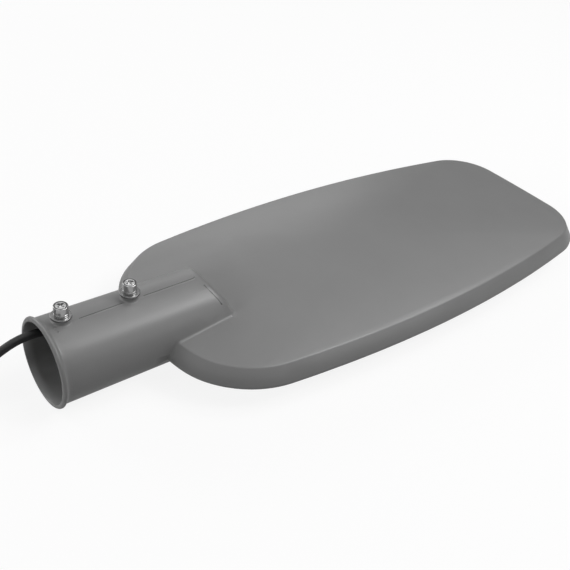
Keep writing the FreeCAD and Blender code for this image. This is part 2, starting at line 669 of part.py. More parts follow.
GEAR_SCREWS = ear_screws(S.driver_start, S.driver_length, S.driver_side)
GEAR_SCREWS += ear_screws(BLOCK_START, S.block_length, S.gear_side)
GEAR_SCREWS += ear_screws(SURGE_START, S.surge_length, S.gear_side)
EARTH_SCREW = [((BLOCK_START + S.block_length + SURGE_START) / 2, S.gear_side + S.earth_shift)]


def pillars(label, places, bottom):
    """Cast pillars that run from bottom up into the domed wall."""
    made = []
    for number, (x, y) in enumerate(places):
        name = "%s_%d" % (label, number)
        high = CREASE + " + Sizes.crown - (%s)" % bottom
        made.append(upright_cylinder(name, str(x), str(y), bottom, "Sizes.pillar_radius", high))
    return made


gear_space = cut("gear_bay_cut", hollow_gear, *pillars("gear_pillar", GEAR_SCREWS + EARTH_SCREW, GEAR_SEAT))
lamp_space = cut("lamp_bay_cut", hollow_lamp, *pillars("tray_pillar", TRAY_SCREWS, TRAY_TOP))

recess = "Sizes.cover_inset - Sizes.fit_gap"
lap = " + Sizes.pane_lap"
window = (PANE_START + lap, PANE_END + " - Sizes.pane_lap", PANE_HALF + " - Sizes.pane_lap")
window_corner = "Sizes.pane_corner - Sizes.pane_lap"
gear_depth = "%s - (%s)" % (COVER_LEDGE, FLOOR)
gear_recess = bay("gear_recess", recess, None, COVER_END, FLOOR, gear_depth)
mouth_depth = "%s - (%s) + 1" % (BAY_FLOOR, COVER_LEDGE)
gear_mouth = bay("gear_mouth", "Sizes.bay_inset", None, GEAR_OPENING_END, COVER_LEDGE, mouth_depth)
frame_recess = bay("frame_recess", recess, FRAME_START, None, FLOOR, "%s - (%s)" % (FRAME_TOP, FLOOR))
pane_recess = plate(
    "pane_recess",
    PANE_START + " - Sizes.fit_gap",
    PANE_END + " + Sizes.fit_gap",
    PANE_HALF + " + Sizes.fit_gap",
    "Sizes.pane_corner + Sizes.fit_gap",
    FRAME_TOP,
    "Sizes.pane_thick + Sizes.gasket_thick",
)
lamp_mouth = plate("lamp_mouth", *window, window_corner, PANE_LEDGE, "Sizes.floor_wall + 1")

bore = new_body("bore_space")
bore_profile = new_sketch(bore, "bore_profile", "XZ_Plane")
add_polygon(
    bore_profile,
    (
        ("-1", "0"),
        ("-1", "Sizes.bore_radius + Sizes.mouth_chamfer + 1"),
        ("Sizes.mouth_chamfer", "Sizes.bore_radius"),
        ("Sizes.bore_depth", "Sizes.bore_radius"),
        ("Sizes.bore_depth", "0"),
    ),
)
feature(bore, "Revolution", "bore_turned", bore_profile, axis="H_Axis")


def along_tube(label, x, y, z, radius, length):
    """A cylinder lying along X."""
    made = doc.addObject("Part::Cylinder", label)
    made.setExpression("Radius", radius)
    made.setExpression("Height", length)
    made.Placement = Placement(Vector(0, 0, 0), Rotation(Vector(0, 1, 0), 90))
    for axis, text in (("x", x), ("y", y), ("z", z)):
        made.setExpression("Placement.Base." + axis, text)
    return made


GLAND_HOLE = "Sizes.gland_thread + Sizes.hole_gap"
gland_hole = along_tube(
    "gland_hole", "Sizes.bore_depth - 1", "Sizes.gland_y", "Sizes.gland_z", GLAND_HOLE, "Sizes.bulkhead + 2"
)
GROMMET_Z = -13.0
GROMMET_Y = -24.0
GROMMET_NECK, GROMMET_WAY, GROMMET_LIP, LIP_THICK = "5", "3.6", "6.4", "1.2"
grommet_hole = along_tube(
    "grommet_hole", BAY_END + " - 1", str(GROMMET_Y), str(GROMMET_Z), GROMMET_NECK, "Sizes.divider + 2"
)
CLAMP_HOLE = "Sizes.clamp_shank + Sizes.hole_gap"
clamp_holes = [
    upright_cylinder("clamp_hole_%d" % i, place, "0", "0", CLAMP_HOLE, boss_top + " + 1")
    for i, place in enumerate(BOSS_PLACES)
]


def screw(label, shank, head, head_high, length, sunk):
    """A screw pointing up from its head's outer face at z = 0; a sunk head is a cone."""
    under_head = [(shank, head_high)] if sunk else [(head, head_high), (shank, head_high)]
    return turned(label, [("0", "0"), (head, "0")] + under_head + [(shank, length), ("0", length)])


SMALL = ("Sizes.small_shank", "Sizes.small_head", "Sizes.small_head_high")
SMALL_HOLE = tuple(size + " + Sizes.hole_gap" for size in SMALL[:2]) + (SMALL[2],)
cover_screw_length = "Sizes.cover_thick + Sizes.gasket_thick + Sizes.small_bite"
frame_screw_length = "Sizes.frame_thick + Sizes.small_bite"
tray_screw_length = "Sizes.tray_thick + Sizes.small_bite"
board_screw_length = "Sizes.small_head_high + Sizes.board_thick + Sizes.pad_thick + Sizes.tray_thick"
gear_screw_length = "Sizes.small_head_high + Sizes.ear_thick + Sizes.small_bite"


def spots(places, level):
    return [at(x, y, worked(level)) for x, y in places]


def screws_and_holes(label, places, face, length, sunk):
    """One node of like screws, and the tool that clears their holes."""
    pattern = screw(label + "_pattern", *SMALL, length, sunk)
    hole = screw(label + "_hole_pattern", *SMALL_HOLE, length + " + Sizes.hole_gap", sunk)
    where = spots(places, face)
    return copies(label, pattern, where), copies(label + "_holes", hole, where)


GEAR_HEADS = "%s - Sizes.ear_thick - Sizes.small_head_high" % GEAR_SEAT
BOARD_HEADS = BOARD_FACE + " - Sizes.small_head_high"
SUNK_SCREWS = (
    ("gear_cover_screws", COVER_SCREWS, COVER_FACE, cover_screw_length),
    ("window_frame_screws", FRAME_SCREWS, COVER_FACE, frame_screw_length),
    ("tray_screws", TRAY_SCREWS, TRAY_FACE, tray_screw_length),
)
RAISED_SCREWS = (
    ("board_screws", BOARD_SCREWS, BOARD_HEADS, board_screw_length),
    ("gear_screws", GEAR_SCREWS, GEAR_HEADS, gear_screw_length),
    ("earth_screw", EARTH_SCREW, GEAR_HEADS, gear_screw_length),
)
holes = {}
for group, sunk in ((SUNK_SCREWS, True), (RAISED_SCREWS, False)):
    for label, places, face, length in group:
        nodes[label], holes[label] = screws_and_holes(label, places, face, length, sunk)

nodes["housing"] = cut(
    "housing",
    housing,
    gear_space,
    lamp_space,
    gear_recess,
    gear_mouth,
    frame_recess,
    pane_recess,
    lamp_mouth,
    bore,
    gland_hole,
    grommet_hole,
    *clamp_holes,
    *(made for label, made in holes.items() if label != "board_screws"),
)

# What closes the gear bay.
plate_end = COVER_END + " - Sizes.fit_gap"
gear_plate = bay("gear_cover_plate", "Sizes.cover_inset", None, plate_end, COVER_FACE, "Sizes.cover_thick")
PLUG_X, PLUG_Y = 236.0, 36.0
PLUG_HEAD, PLUG_NECK, PLUG_HEAD_HIGH = 5.5, 3.0, 1.8


def plug_profile(gap):
    head, neck = str(PLUG_HEAD + gap), str(PLUG_NECK + gap)
    sunk = str(PLUG_HEAD_HIGH + gap)
    top = "Sizes.cover_thick + %s" % (0.1 if gap else 3.0)
    return [("0", "0"), (head, "0"), (head, sunk), (neck, sunk), (neck, top), ("0", top)]


plug_place = [at(PLUG_X, PLUG_Y, worked(COVER_FACE))]
nodes["breather_plug"] = copies("breather_plug", turned("plug_pattern", plug_profile(0.0)), plug_place)
plug_hole = copies("plug_hole", turned("plug_hole_pattern", plug_profile(0.1)), plug_place)
nodes["gear_cover"] = cut("gear_cover", gear_plate, holes["gear_cover_screws"], plug_hole)
seal_level = (COVER_TOP, "Sizes.gasket_thick")
seal_inset, seal_end_x = "Sizes.bay_inset - Sizes.gasket_width", GEAR_OPENING_END + " + Sizes.gasket_width"
seal_outside = bay("gear_seal_outside", seal_inset, None, seal_end_x, *seal_level)
seal_inside = bay("gear_seal_inside", "Sizes.bay_inset", None, GEAR_OPENING_END, *seal_level)
nodes["gear_cover_gasket"] = cut("gear_cover_gasket", seal_outside, seal_inside)

# What closes the lamp bay.
frame_level = (COVER_FACE, "Sizes.frame_thick")
plate_start = FRAME_START + " + Sizes.fit_gap"
frame_plate = bay("window_frame_plate", "Sizes.cover_inset", plate_start, None, *frame_level)
frame_window = plate("frame_window", *window, window_corner, *frame_level)
nodes["window_frame"] = cut("window_frame", frame_plate, frame_window, holes["window_frame_screws"])
pane = (PANE_START, PANE_END, PANE_HALF, "Sizes.pane_corner")
nodes["glass_pane"] = plate("glass_pane", *pane, FRAME_TOP, "Sizes.pane_thick")
seal_edge = "Sizes.pane_lap - Sizes.gasket_width - 1"
nodes["glass_gasket"] = plate(
    "glass_gasket",
    PANE_START + " + " + seal_edge,
    PANE_END + " - (" + seal_edge + ")",
    PANE_HALF + " - (" + seal_edge + ")",
    "Sizes.pane_corner - (" + seal_edge + ")",
    PANE_TOP,
    "Sizes.gasket_thick",
    hole=(
        PANE_START + " + Sizes.pane_lap - 1",
        PANE_END + " - Sizes.pane_lap + 1",
        PANE_HALF + " - Sizes.pane_lap + 1",
        "Sizes.pane_corner - Sizes.pane_lap + 1",
    ),
)

# The lamp: tray, heat pad, board, chips and lens plate.


def inside_pane(label, margin, corner, bottom, thick):
    near, far = PANE_START + " + " + margin, PANE_END + " - " + margin
    return plate(label, near, far, PANE_HALF + " - " + margin, corner, bottom, thick)


tray_plate = inside_pane("tray_plate", "Sizes.tray_margin", "5", TRAY_FACE, "Sizes.tray_thick")
board_holes = holes["board_screws"]
nodes["led_tray"] = cut("led_tray", tray_plate, holes["tray_screws"], board_holes)
pad_plate = inside_pane("pad_plate", "Sizes.board_margin", "2", PAD_FACE, "Sizes.pad_thick")
nodes["thermal_pad"] = cut("thermal_pad", pad_plate, board_holes)
board_plate = inside_pane("board_plate", "Sizes.board_margin", "2", BOARD_FACE, "Sizes.board_thick")
nodes["led_board"] = cut("led_board", board_plate, board_holes)
pane_middle = (pane_start + pane_end) / 2
chip_reach_x = S.chip_pitch_x * (S.chip_columns - 1) / 2
chip_reach_y = S.chip_pitch_y * (S.chip_rows - 1) / 2
CHIP_PLACES = [
    (x, y)
    for x in in_line(pane_middle - chip_reach_x, pane_middle + chip_reach_x, int(S.chip_columns))
    for y in in_line(-chip_reach_y, chip_reach_y, int(S.chip_rows))
]
chip = doc.addObject("Part::Box", "chip_pattern")
for prop, alias in (("Length", "chip_side"), ("Width", "chip_side"), ("Height", "chip_thick")):
    chip.setExpression(prop, "Sizes." + alias)
for axis in ("x", "y"):
    chip.setExpression("Placement.Base." + axis, "-Sizes.chip_side / 2")
nodes["led_chips"] = copies("led_chips", chip, spots(CHIP_PLACES, LENS_TOP))
reach = "(Sizes.chip_pitch_%s * (Sizes.chip_%s - 1) / 2 + Sizes.lens_radius + 1)"
middle = "(%s + %s) / 2" % (PANE_START, PANE_END)
reach_x, reach_y = reach % ("x", "columns"), reach % ("y", "rows")
lens_outline = (middle + " - " + reach_x, middle + " + " + reach_x, reach_y, "3")
lens_base = plate("lens_base", *lens_outline, LENS_FOOT, "Sizes.lens_plate")
ball = doc.addObject("Part::Sphere", "lens_ball")
ball_radius = "(pow(Sizes.lens_radius; 2) + pow(Sizes.lens_rise; 2)) / (2 * Sizes.lens_rise)"
ball.setExpression("Radius", ball_radius)
ball.setExpression("Placement.Base.z", ball_radius + " - Sizes.lens_rise")
trim_size = ("Sizes.lens_radius", "Sizes.lens_rise")
ball_trim = upright_cylinder("lens_trim", "0", "0", "-Sizes.lens_rise", *trim_size)
lens_dome = doc.addObject("Part::Common", "lens_dome")
lens_dome.Base, lens_dome.Tool = ball, ball_trim
lens_domes = copies("lens_domes", lens_dome, spots(CHIP_PLACES, LENS_FOOT))
nodes["lens_array"] = doc.addObject("Part::MultiFuse", "lens_array")
nodes["lens_array"].Shapes = [lens_base, lens_domes]

# The gear that hangs from the cast pillars.


def module(label, start, length, width, height, side):
    """A block with a fixing ear at each end, seated on its pillars."""
    body = new_body(label + "_solid")
    half = "(%s) / 2" % width
    for part, inside, deep in (("ears", "0", "Sizes.ear_thick"), ("box", "Sizes.ear_length", height)):
        sketch = new_sketch(body, "%s_%s_outline" % (label, part), "XY_Plane", GEAR_SEAT)
        near, far = "%s + %s" % (start, inside), "%s + %s - %s" % (start, length, inside)
        low, high = "%s - %s" % (side, half), "%s + %s" % (side, half)
        add_polygon(sketch, ((near, low), (far, low), (far, high), (near, high)))
        feature(body, "Pad", "%s_%s" % (label, part), sketch, deep, backwards=True)
    return body


def sizes_of(thing):
    return tuple("Sizes.%s_%s" % (thing, size) for size in ("length", "width", "height"))


driver = module("driver", "Sizes.driver_start", *sizes_of("driver"), "Sizes.driver_side")
block = module("terminal", str(BLOCK_START), *sizes_of("block"), "Sizes.gear_side")
surge = module("surge", str(SURGE_START), *sizes_of("surge"), "Sizes.gear_side")
block_middle = BLOCK_START + S.block_length / 2
TERMINALS = [(block_middle + x, S.gear_side + y) for x in (-10, 0, 10) for y in (-4.5, 4.5)]
terminal_pattern = upright_cylinder("terminal_pattern", "0", "0", "0", "2.2", "3")
terminal_places = spots(TERMINALS, GEAR_SEAT + " - Sizes.block_height")
terminal_holes = copies("terminal_holes", terminal_pattern, terminal_places)
gear_holes = holes["gear_screws"]
nodes["led_driver"] = cut("led_driver", driver, gear_holes)
nodes["terminal_block"] = cut("terminal_block", block, gear_holes, terminal_holes)
nodes["surge_protector"] = cut("surge_protector", surge, gear_holes)
LUG_RING, LUG_BARREL, LUG_REACH = "4.6", "Sizes.ear_thick * 0.45", 7.0
lug_ring = upright_cylinder("lug_ring", "0", "0", "-Sizes.ear_thick", LUG_RING, "Sizes.ear_thick")
lug_barrel = along_tube(
    "lug_barrel", str(-LUG_REACH), "0", "-Sizes.ear_thick / 2", LUG_BARREL, str(LUG_REACH)
)
lug = doc.addObject("Part::MultiFuse", "lug_pattern")
lug.Shapes = [lug_ring, lug_barrel]
lug_placed = copies("lug_placed", lug, spots(EARTH_SCREW, GEAR_SEAT))
nodes["earth_lug"] = cut("earth_lug", lug_placed, holes["earth_screw"])

# Clamp screws, with their washers, over the pole socket.
FLAT_FOOT = boss_top
SPRING_FOOT = FLAT_FOOT + " + Sizes.flat_thick"
HEAD_FOOT = SPRING_FOOT + " + Sizes.spring_thick"
clamp = new_body("clamp_screw_pattern")
clamp_profile = new_sketch(clamp, "clamp_screw_profile", "XZ_Plane")
head_top = HEAD_FOOT + " + Sizes.clamp_head_high"
tip = "Sizes.bore_radius + Sizes.clamp_tip"
add_polygon(
    clamp_profile,
    (
        ("0", tip),
        ("Sizes.clamp_shank", tip),
        ("Sizes.clamp_shank", HEAD_FOOT),
        ("Sizes.clamp_head", HEAD_FOOT),
        ("Sizes.clamp_head", head_top + " - Sizes.clamp_head_round"),
        ("Sizes.clamp_head - Sizes.clamp_head_round", head_top),
        ("0", head_top),
    ),
)
feature(clamp, "Revolution", "clamp_screw_turned", clamp_profile, axis="V_Axis")
CROSS_HALF, CROSS_REACH, CROSS_DEPTH = "0.95", "3.1", "2.4"
cross = new_sketch(clamp, "clamp_screw_cross", "XY_Plane", head_top)
half_cross = (
    (CROSS_REACH, "-" + CROSS_HALF),
    (CROSS_REACH, CROSS_HALF),
    (CROSS_HALF, CROSS_HALF),
    (CROSS_HALF, CROSS_REACH),
    ("-" + CROSS_HALF, CROSS_REACH),
    ("-" + CROSS_HALF, CROSS_HALF),
)


def mirrored(text):
    return text[1:] if text.startswith("-") else "-" + text


add_polygon(cross, half_cross + tuple((mirrored(x), mirrored(y)) for x, y in half_cross))
feature(clamp, "Pocket", "clamp_screw_recess", cross, CROSS_DEPTH)
CLAMPS = [at(x, 0, 0) for x in boss_x]


def washer(label, radius, foot, thick):
    top = "%s + %s" % (foot, thick)
    return turned(label, [(CLAMP_HOLE, foot), (radius, foot), (radius, top), (CLAMP_HOLE, top)])


spring_ring = washer("spring_washer_ring", "Sizes.clamp_head", SPRING_FOOT, "Sizes.spring_thick")
flat_ring = washer("flat_washer_ring", "Sizes.flat_radius", FLAT_FOOT, "Sizes.flat_thick")
SPLIT = "0.8"
split = doc.addObject("Part::Box", "spring_split")
for prop, text in (("Length", "Sizes.clamp_head"), ("Width", SPLIT), ("Height", "Sizes.spring_thick + 2")):
    split.setExpression(prop, text)
split.setExpression("Placement.Base.y", "-Width / 2")
split.setExpression("Placement.Base.z", SPRING_FOOT + " - 1")
spring_pattern = cut("spring_washer_pattern", spring_ring, split)
nodes["pole_clamp_screws"] = copies("pole_clamp_screws", clamp, CLAMPS)
nodes["spring_washers"] = copies("spring_washers", spring_pattern, CLAMPS)
nodes["flat_washers"] = copies("flat_washers", flat_ring, CLAMPS)

# The cable gland in the bulkhead, on an axis that points to the mouth.
SPIGOT_RADIUS, NUT_MOUTH, SEAL_LENGTH = "5.4", "4.4", "5"
CABLE_WAY = "Sizes.cable_radius + 0.1"
TO_MOUTH = Rotation(Vector(0, 1, 0), -90)
GLAND_SEAT = Placement(Vector(S.bore_depth, S.gland_y, S.gland_z), TO_MOUTH)


def hexagon(label, bottom, high):
    made = doc.addObject("Part::Prism", label)
    made.Polygon = 6
    made.setExpression("Circumradius", "Sizes.gland_flats / sqrt(3)")
    made.setExpression("Height", high)
    made.setExpression("Placement.Base.z", bottom)
    return made


nut_start = "Sizes.gland_hex"
spigot_end = nut_start + " + Sizes.gland_nut * 0.55"
seal_end = spigot_end + " + " + SEAL_LENGTH
nut_end = nut_start + " + Sizes.gland_nut"
gland_stem = turned(
    "gland_stem",
    [
        (CABLE_WAY, "-Sizes.gland_screwed"),
        ("Sizes.gland_thread", "-Sizes.gland_screwed"),
        ("Sizes.gland_thread", "0"),
        (SPIGOT_RADIUS, "0"),
        (SPIGOT_RADIUS, spigot_end),
        (CABLE_WAY, spigot_end),
    ],
)
gland_hex_way = upright_cylinder("gland_hex_way", "0", "0", "-1", CABLE_WAY, "Sizes.gland_hex + 2")
gland_flange = cut("gland_flange", hexagon("gland_hexagon", "0", "Sizes.gland_hex"), gland_hex_way)
gland_pattern = doc.addObject("Part::MultiFuse", "gland_pattern")
gland_pattern.Shapes = [gland_stem, gland_flange]
nodes["gland_body"] = copies("gland_body", gland_pattern, [GLAND_SEAT])
seal_profile = [
    (CABLE_WAY, spigot_end),
    (SPIGOT_RADIUS, spigot_end),
    (NUT_MOUTH, seal_end),
    (CABLE_WAY, seal_end),
]
nodes["gland_seal"] = copies("gland_seal", turned("seal_pattern", seal_profile), [GLAND_SEAT])
nut_flats = hexagon("nut_hexagon", nut_start, "Sizes.gland_nut")
nut_round = turned(
    "nut_round",
    [
        (SPIGOT_RADIUS + " + 0.1", nut_start),
        ("Sizes.gland_flats * 0.6", nut_start),
        ("Sizes.gland_flats * 0.6", nut_start + " + Sizes.gland_nut * 0.5"),
        ("Sizes.gland_flats * 0.42", nut_end + " - 1.5"),
        ("Sizes.gland_flats * 0.32", nut_end),
        (CABLE_WAY, nut_end),
        (CABLE_WAY, seal_end),
        (NUT_MOUTH, seal_end),
        (SPIGOT_RADIUS + " + 0.1", spigot_end),
    ],
)
nut_pattern = doc.addObject("Part::Common", "nut_pattern")
nut_pattern.Base, nut_pattern.Tool = nut_flats, nut_round
nodes["gland_nut"] = copies("gland_nut", nut_pattern, [GLAND_SEAT])
lip_end = "Sizes.divider + " + LIP_THICK
grommet_profile = [
    (GROMMET_WAY, "-" + LIP_THICK),
    (GROMMET_LIP, "-" + LIP_THICK),
    (GROMMET_LIP, "0"),
    (GROMMET_NECK, "0"),
    (GROMMET_NECK, "Sizes.divider"),
    (GROMMET_LIP, "Sizes.divider"),
    (GROMMET_LIP, lip_end),
    (GROMMET_WAY, lip_end),
]
grommet_place = Placement(Vector(worked(LAMP_START), GROMMET_Y, GROMMET_Z), TO_MOUTH)
nodes["lead_grommet"] = copies("lead_grommet", turned("grommet_pattern", grommet_profile), [grommet_place])

# Cables and leads. Each is a round tube along straight runs joined by arcs.
ARC_SHARE = 0.45


def route(points):
    """The path through the points, and the radii of its arcs."""
    edges, radii = [], []
    start = points[0]
    for before, corner, after in zip(points, points[1:], points[2:]):
        back, ahead = (before - corner), (after - corner)
        trim = ARC_SHARE * min(back.Length, ahead.Length)
        back.normalize()
        ahead.normalize()
        half_turn = (math.pi - back.getAngle(ahead)) / 2
        radius = trim / math.tan(half_turn)
        radii.append(radius)
        inward = (back + ahead).normalize()
        first, last = corner + back * trim, corner + ahead * trim
        middle = corner + inward * (radius / math.cos(half_turn) - radius)
        edges += [Part.LineSegment(start, first), Part.Arc(first, middle, last)]
        start = last
    edges.append(Part.LineSegment(start, points[-1]))
    return Part.Wire([edge.toShape() for edge in edges]), radii


def tube_shape(name, points, radius):
    path, radii = route(points)
    direction = points[1] - points[0]
    ring = Part.Wire([Part.makeCircle(radius, points[0], direction)])
    shape = path.makePipeShell([ring], True, False)
    share = shape.Volume / (math.pi * radius**2 * path.Length)
    rounded = [round(r) for r in radii]
    print("%s: length %.1f, arc radii %s, volume share %.4f" % (name, path.Length, rounded, share))
    return shape


def tubes(label, radius, *routes):
    made = doc.addObject("Part::Feature", label)
    shapes = [tube_shape(label, [Vector(*p) for p in points], radius) for points in routes]
    made.Shape = shapes[0] if len(shapes) == 1 else Part.makeCompound(shapes)
    nodes[label] = made
    return made


gland_face = S.bore_depth - S.gland_hex - S.gland_nut
gland_back = S.bore_depth + S.gland_screwed
cable_exit = (gland_face, S.gland_y, S.gland_z)
block_near, block_far = BLOCK_START + S.ear_length, BLOCK_START + S.block_length - S.ear_length
surge_near = SURGE_START + S.ear_length
driver_near, driver_far = S.driver_start + S.ear_length, driver_end - S.ear_length
side = S.gear_side
INNER_CABLE = (
    cable_exit,
    (gland_back + 3, S.gland_y, S.gland_z),
    (124, 17, -8.5),
    (142, 24.5, -10.6),
    (block_near, side, -11),
)
tubes("inner_cable", S.cable_radius, INNER_CABLE)
LINE_LEAD = (
    (driver_near, -8, -12),
    (143, -7.5, -13),
    (134, -1, -15.5),
    (131.5, 9, -17),
    (137, 17.5, -17),
    (148, 21, -15.2),
    (block_near, 21.5, -13.5),
)
NEUTRAL_LEAD = (
    (driver_near, -13, -12),
    (141, -12.5, -13.5),
    (129.5, -4, -16),
    (126.5, 9, -17.8),
    (132, 22, -17.8),
    (145, 31.5, -16),
    (block_near, 34, -13),
)
tubes("mains_leads", S.lead_radius, LINE_LEAD, NEUTRAL_LEAD)
SURGE_LEADS = [
    ((block_far, y, -10), (204, y + 1, -12.5), (214, y - 0.5, -12.7), (surge_near, y, -11))
    for y in (side - 5, side + 1)
]
tubes("surge_leads", S.lead_radius, *SURGE_LEADS)
lug_x, lug_y = EARTH_SCREW[0][0] - LUG_REACH, EARTH_SCREW[0][1]
lug_z = worked(GEAR_SEAT) - S.ear_thick + 1
EARTH_LEAD = (
    (block_far, lug_y - 0.6, lug_z - 4),
    (block_far + 3, lug_y - 0.5, lug_z - 3.6),
    (block_far + 6, lug_y, lug_z - 0.6),
    (lug_x, lug_y, lug_z),
)
tubes("earth_lead", S.lead_radius * 0.9, EARTH_LEAD)
board_edge = pane_start + S.board_margin
LAMP_LEADS = [
    (
        (driver_far, GROMMET_Y + 3 * y, -12),
        (270, GROMMET_Y + 2.4 * y, -12.3),
        (281, GROMMET_Y + 2.0 * y, GROMMET_Z),
        (292, GROMMET_Y + 2.0 * y, GROMMET_Z - 0.2),
        (298, GROMMET_Y + 2.2 * y, -15.5),
        (303.5, GROMMET_Y + 2.7 * y, -20),
        (309.5, GROMMET_Y + 3.1 * y, -21.8),
        (318, GROMMET_Y + 3.5 * y, -21.85),
        (board_edge, GROMMET_Y + 3.8 * y, -21.9),
    )
    for y in (-1, 1)
]
tubes("lamp_leads", S.lead_radius, *LAMP_LEADS)

# The supply cable outside, its put-away coil on the floor and its bare end.
cable_floor = S.cable_radius + worked(FLOOR)
COIL_X, COIL_Y = -112.0, 60.7
COIL_OUTER, COIL_INNER, COIL_TOP = 38.4, 32.0, 35.2
TOP_RISE, TOP_HALF = 5.6, 2
SUPPLY_CABLE = (
    cable_exit,
    (60, 13, -6.2),
    (44, 14, -1),
    (27, 15.6, 7.8),
    (9, 17.3, 14),
    (-8, 18.8, 12.6),
    (-23, 20.3, 5.2),
    (-38, 21.6, -5),
    (-53, 22.6, -16.5),
    (-68, 22.9, -26.5),
    (-84, 22.6, -31.8),
    (-99, 22.1, cable_floor),
    (COIL_X, COIL_Y - COIL_OUTER + 0.4, cable_floor),
)
TAIL = (
    (COIL_X - 36.4, COIL_Y + 10, cable_floor + TOP_RISE + 0.6),
    (COIL_X - 37.6, COIL_Y + 24, cable_floor + 5.2),
    (COIL_X - 39.6, COIL_Y + 38, cable_floor + 1.4),
    (COIL_X - 40.4, COIL_Y + 52, cable_floor),
    (COIL_X - 39.6, COIL_Y + 66, cable_floor),
)
tubes("supply_cable", S.cable_radius, SUPPLY_CABLE)
tubes("supply_cable_tail", S.cable_radius, TAIL)
coil_in, coil_out = COIL_INNER - S.cable_radius, COIL_OUTER + S.cable_radius
coil_low, coil_shoulder = worked(FLOOR), cable_floor + 1
coil_high = cable_floor + TOP_RISE + S.cable_radius
coil = turned(
    "coil_pattern",
    [
        (str(coil_in), str(coil_low)),
        (str(coil_out), str(coil_low)),
        (str(coil_out), str(coil_shoulder)),
        (str(COIL_TOP + TOP_HALF), str(coil_high)),
        (str(COIL_TOP - TOP_HALF), str(coil_high)),
        (str(coil_in), str(coil_shoulder)),
    ],
)
nodes["supply_cable_coil"] = copies("supply_cable_coil", coil, [at(COIL_X, COIL_Y, 0)])
tail_end = Vector(*TAIL[-1])
CORE_RADIUS, CORE_LENGTH, FERRULE_RADIUS, FERRULE_LENGTH = 1.1, 24.0, 0.9, 8.0
cores, ferrules = [], []
for spread in (-1, 0, 1):
    root = tail_end + Vector(1.9 * spread, 0, 0.9 if spread == 0 else -0.9)
    bend = tail_end + Vector(3.2 * spread, 8, -1.0)
    tip_at = tail_end + Vector(4.6 * spread, CORE_LENGTH - FERRULE_LENGTH, CORE_RADIUS - S.cable_radius)
    cores.append((tuple(root), tuple(bend), tuple(tip_at)))
    heading = Vector(tip_at.x - bend.x, tip_at.y - bend.y, 0)
    ferrules.append(Part.makeCylinder(FERRULE_RADIUS, FERRULE_LENGTH, tip_at, heading))
tubes("supply_cores", CORE_RADIUS, *cores)
nodes["core_ferrules"] = doc.addObject("Part::Feature", "core_ferrules")
nodes["core_ferrules"].Shape = Part.makeCompound(ferrules)

doc.recompute()
for item in doc.Objects:
    if "Invalid" in item.State or "Error" in item.State:
        raise RuntimeError("%s failed" % item.Name)
os.makedirs("parts", exist_ok=True)
for name, item in nodes.items():
    if item.Label != name:
        raise RuntimeError("%s is labelled %s" % (name, item.Label))
    if item.Shape.isNull() or not item.Shape.isValid():
        raise RuntimeError("%s has no valid shape" % name)
    item.Shape.exportStep("parts/%s.step" % name)
print("%d nodes written" % len(nodes))
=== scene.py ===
# A cast street light head: the painted casting with its clamp screws, the glass window and the gear cover
# below, and the supply cable. Metres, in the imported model's own frame, +Z up.
import json
import math
import bmesh
import bpy
from mathutils import Matrix, Vector


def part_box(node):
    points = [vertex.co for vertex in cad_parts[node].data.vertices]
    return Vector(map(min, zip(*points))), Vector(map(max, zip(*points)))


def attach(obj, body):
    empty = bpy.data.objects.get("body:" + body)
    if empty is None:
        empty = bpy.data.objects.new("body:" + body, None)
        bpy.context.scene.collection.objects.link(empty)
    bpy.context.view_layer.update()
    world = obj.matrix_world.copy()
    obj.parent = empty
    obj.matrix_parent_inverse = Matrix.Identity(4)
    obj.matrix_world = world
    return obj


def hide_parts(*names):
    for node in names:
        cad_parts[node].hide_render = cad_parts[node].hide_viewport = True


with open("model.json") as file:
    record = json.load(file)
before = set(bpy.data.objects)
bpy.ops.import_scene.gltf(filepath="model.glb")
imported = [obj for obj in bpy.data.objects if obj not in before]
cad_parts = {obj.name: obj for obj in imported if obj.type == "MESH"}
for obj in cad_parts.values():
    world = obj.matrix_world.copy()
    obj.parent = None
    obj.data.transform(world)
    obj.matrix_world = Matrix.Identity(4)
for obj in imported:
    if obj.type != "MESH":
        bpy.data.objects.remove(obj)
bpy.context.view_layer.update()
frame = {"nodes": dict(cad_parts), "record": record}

bl_info = {
    "name": "Street light head",
    "version": (1, 0, 0),
    "blender": (4, 5, 0),
    "location": "View3D > Sidebar > Street light",
    "description": "Finishes, screws, cable, stage and camera for a cast street light head",
    "category": "Object",
}

MM = 0.001
BODY = "root"


def srgb(code):
    """A hex colour such as 8a8b8c as linear red, green and blue."""
    parts = [int(code[i : i + 2], 16) / 255 for i in (0, 2, 4)]
    return tuple(p / 12.92 if p <= 0.04045 else ((p + 0.055) / 1.055) ** 2.4 for p in parts)


def colour(name, description, code):
    """A colour that the sidebar shows, from its hex code."""
    return bpy.props.FloatVectorProperty(
        name=name, description=description, subtype="COLOR", size=3, min=0.0, max=1.0, default=srgb(code)
    )


def length(name, description, default):
    """A length that the sidebar shows, from its size in millimetres."""
    return bpy.props.FloatProperty(
        name=name, description=description, default=default * MM, unit="LENGTH", precision=5
    )


def bearing(name, description, degrees):
    """An angle that the sidebar shows, from its size in degrees."""
    return bpy.props.FloatProperty(
        name=name, description=description, default=math.radians(degrees), subtype="ANGLE"
    )


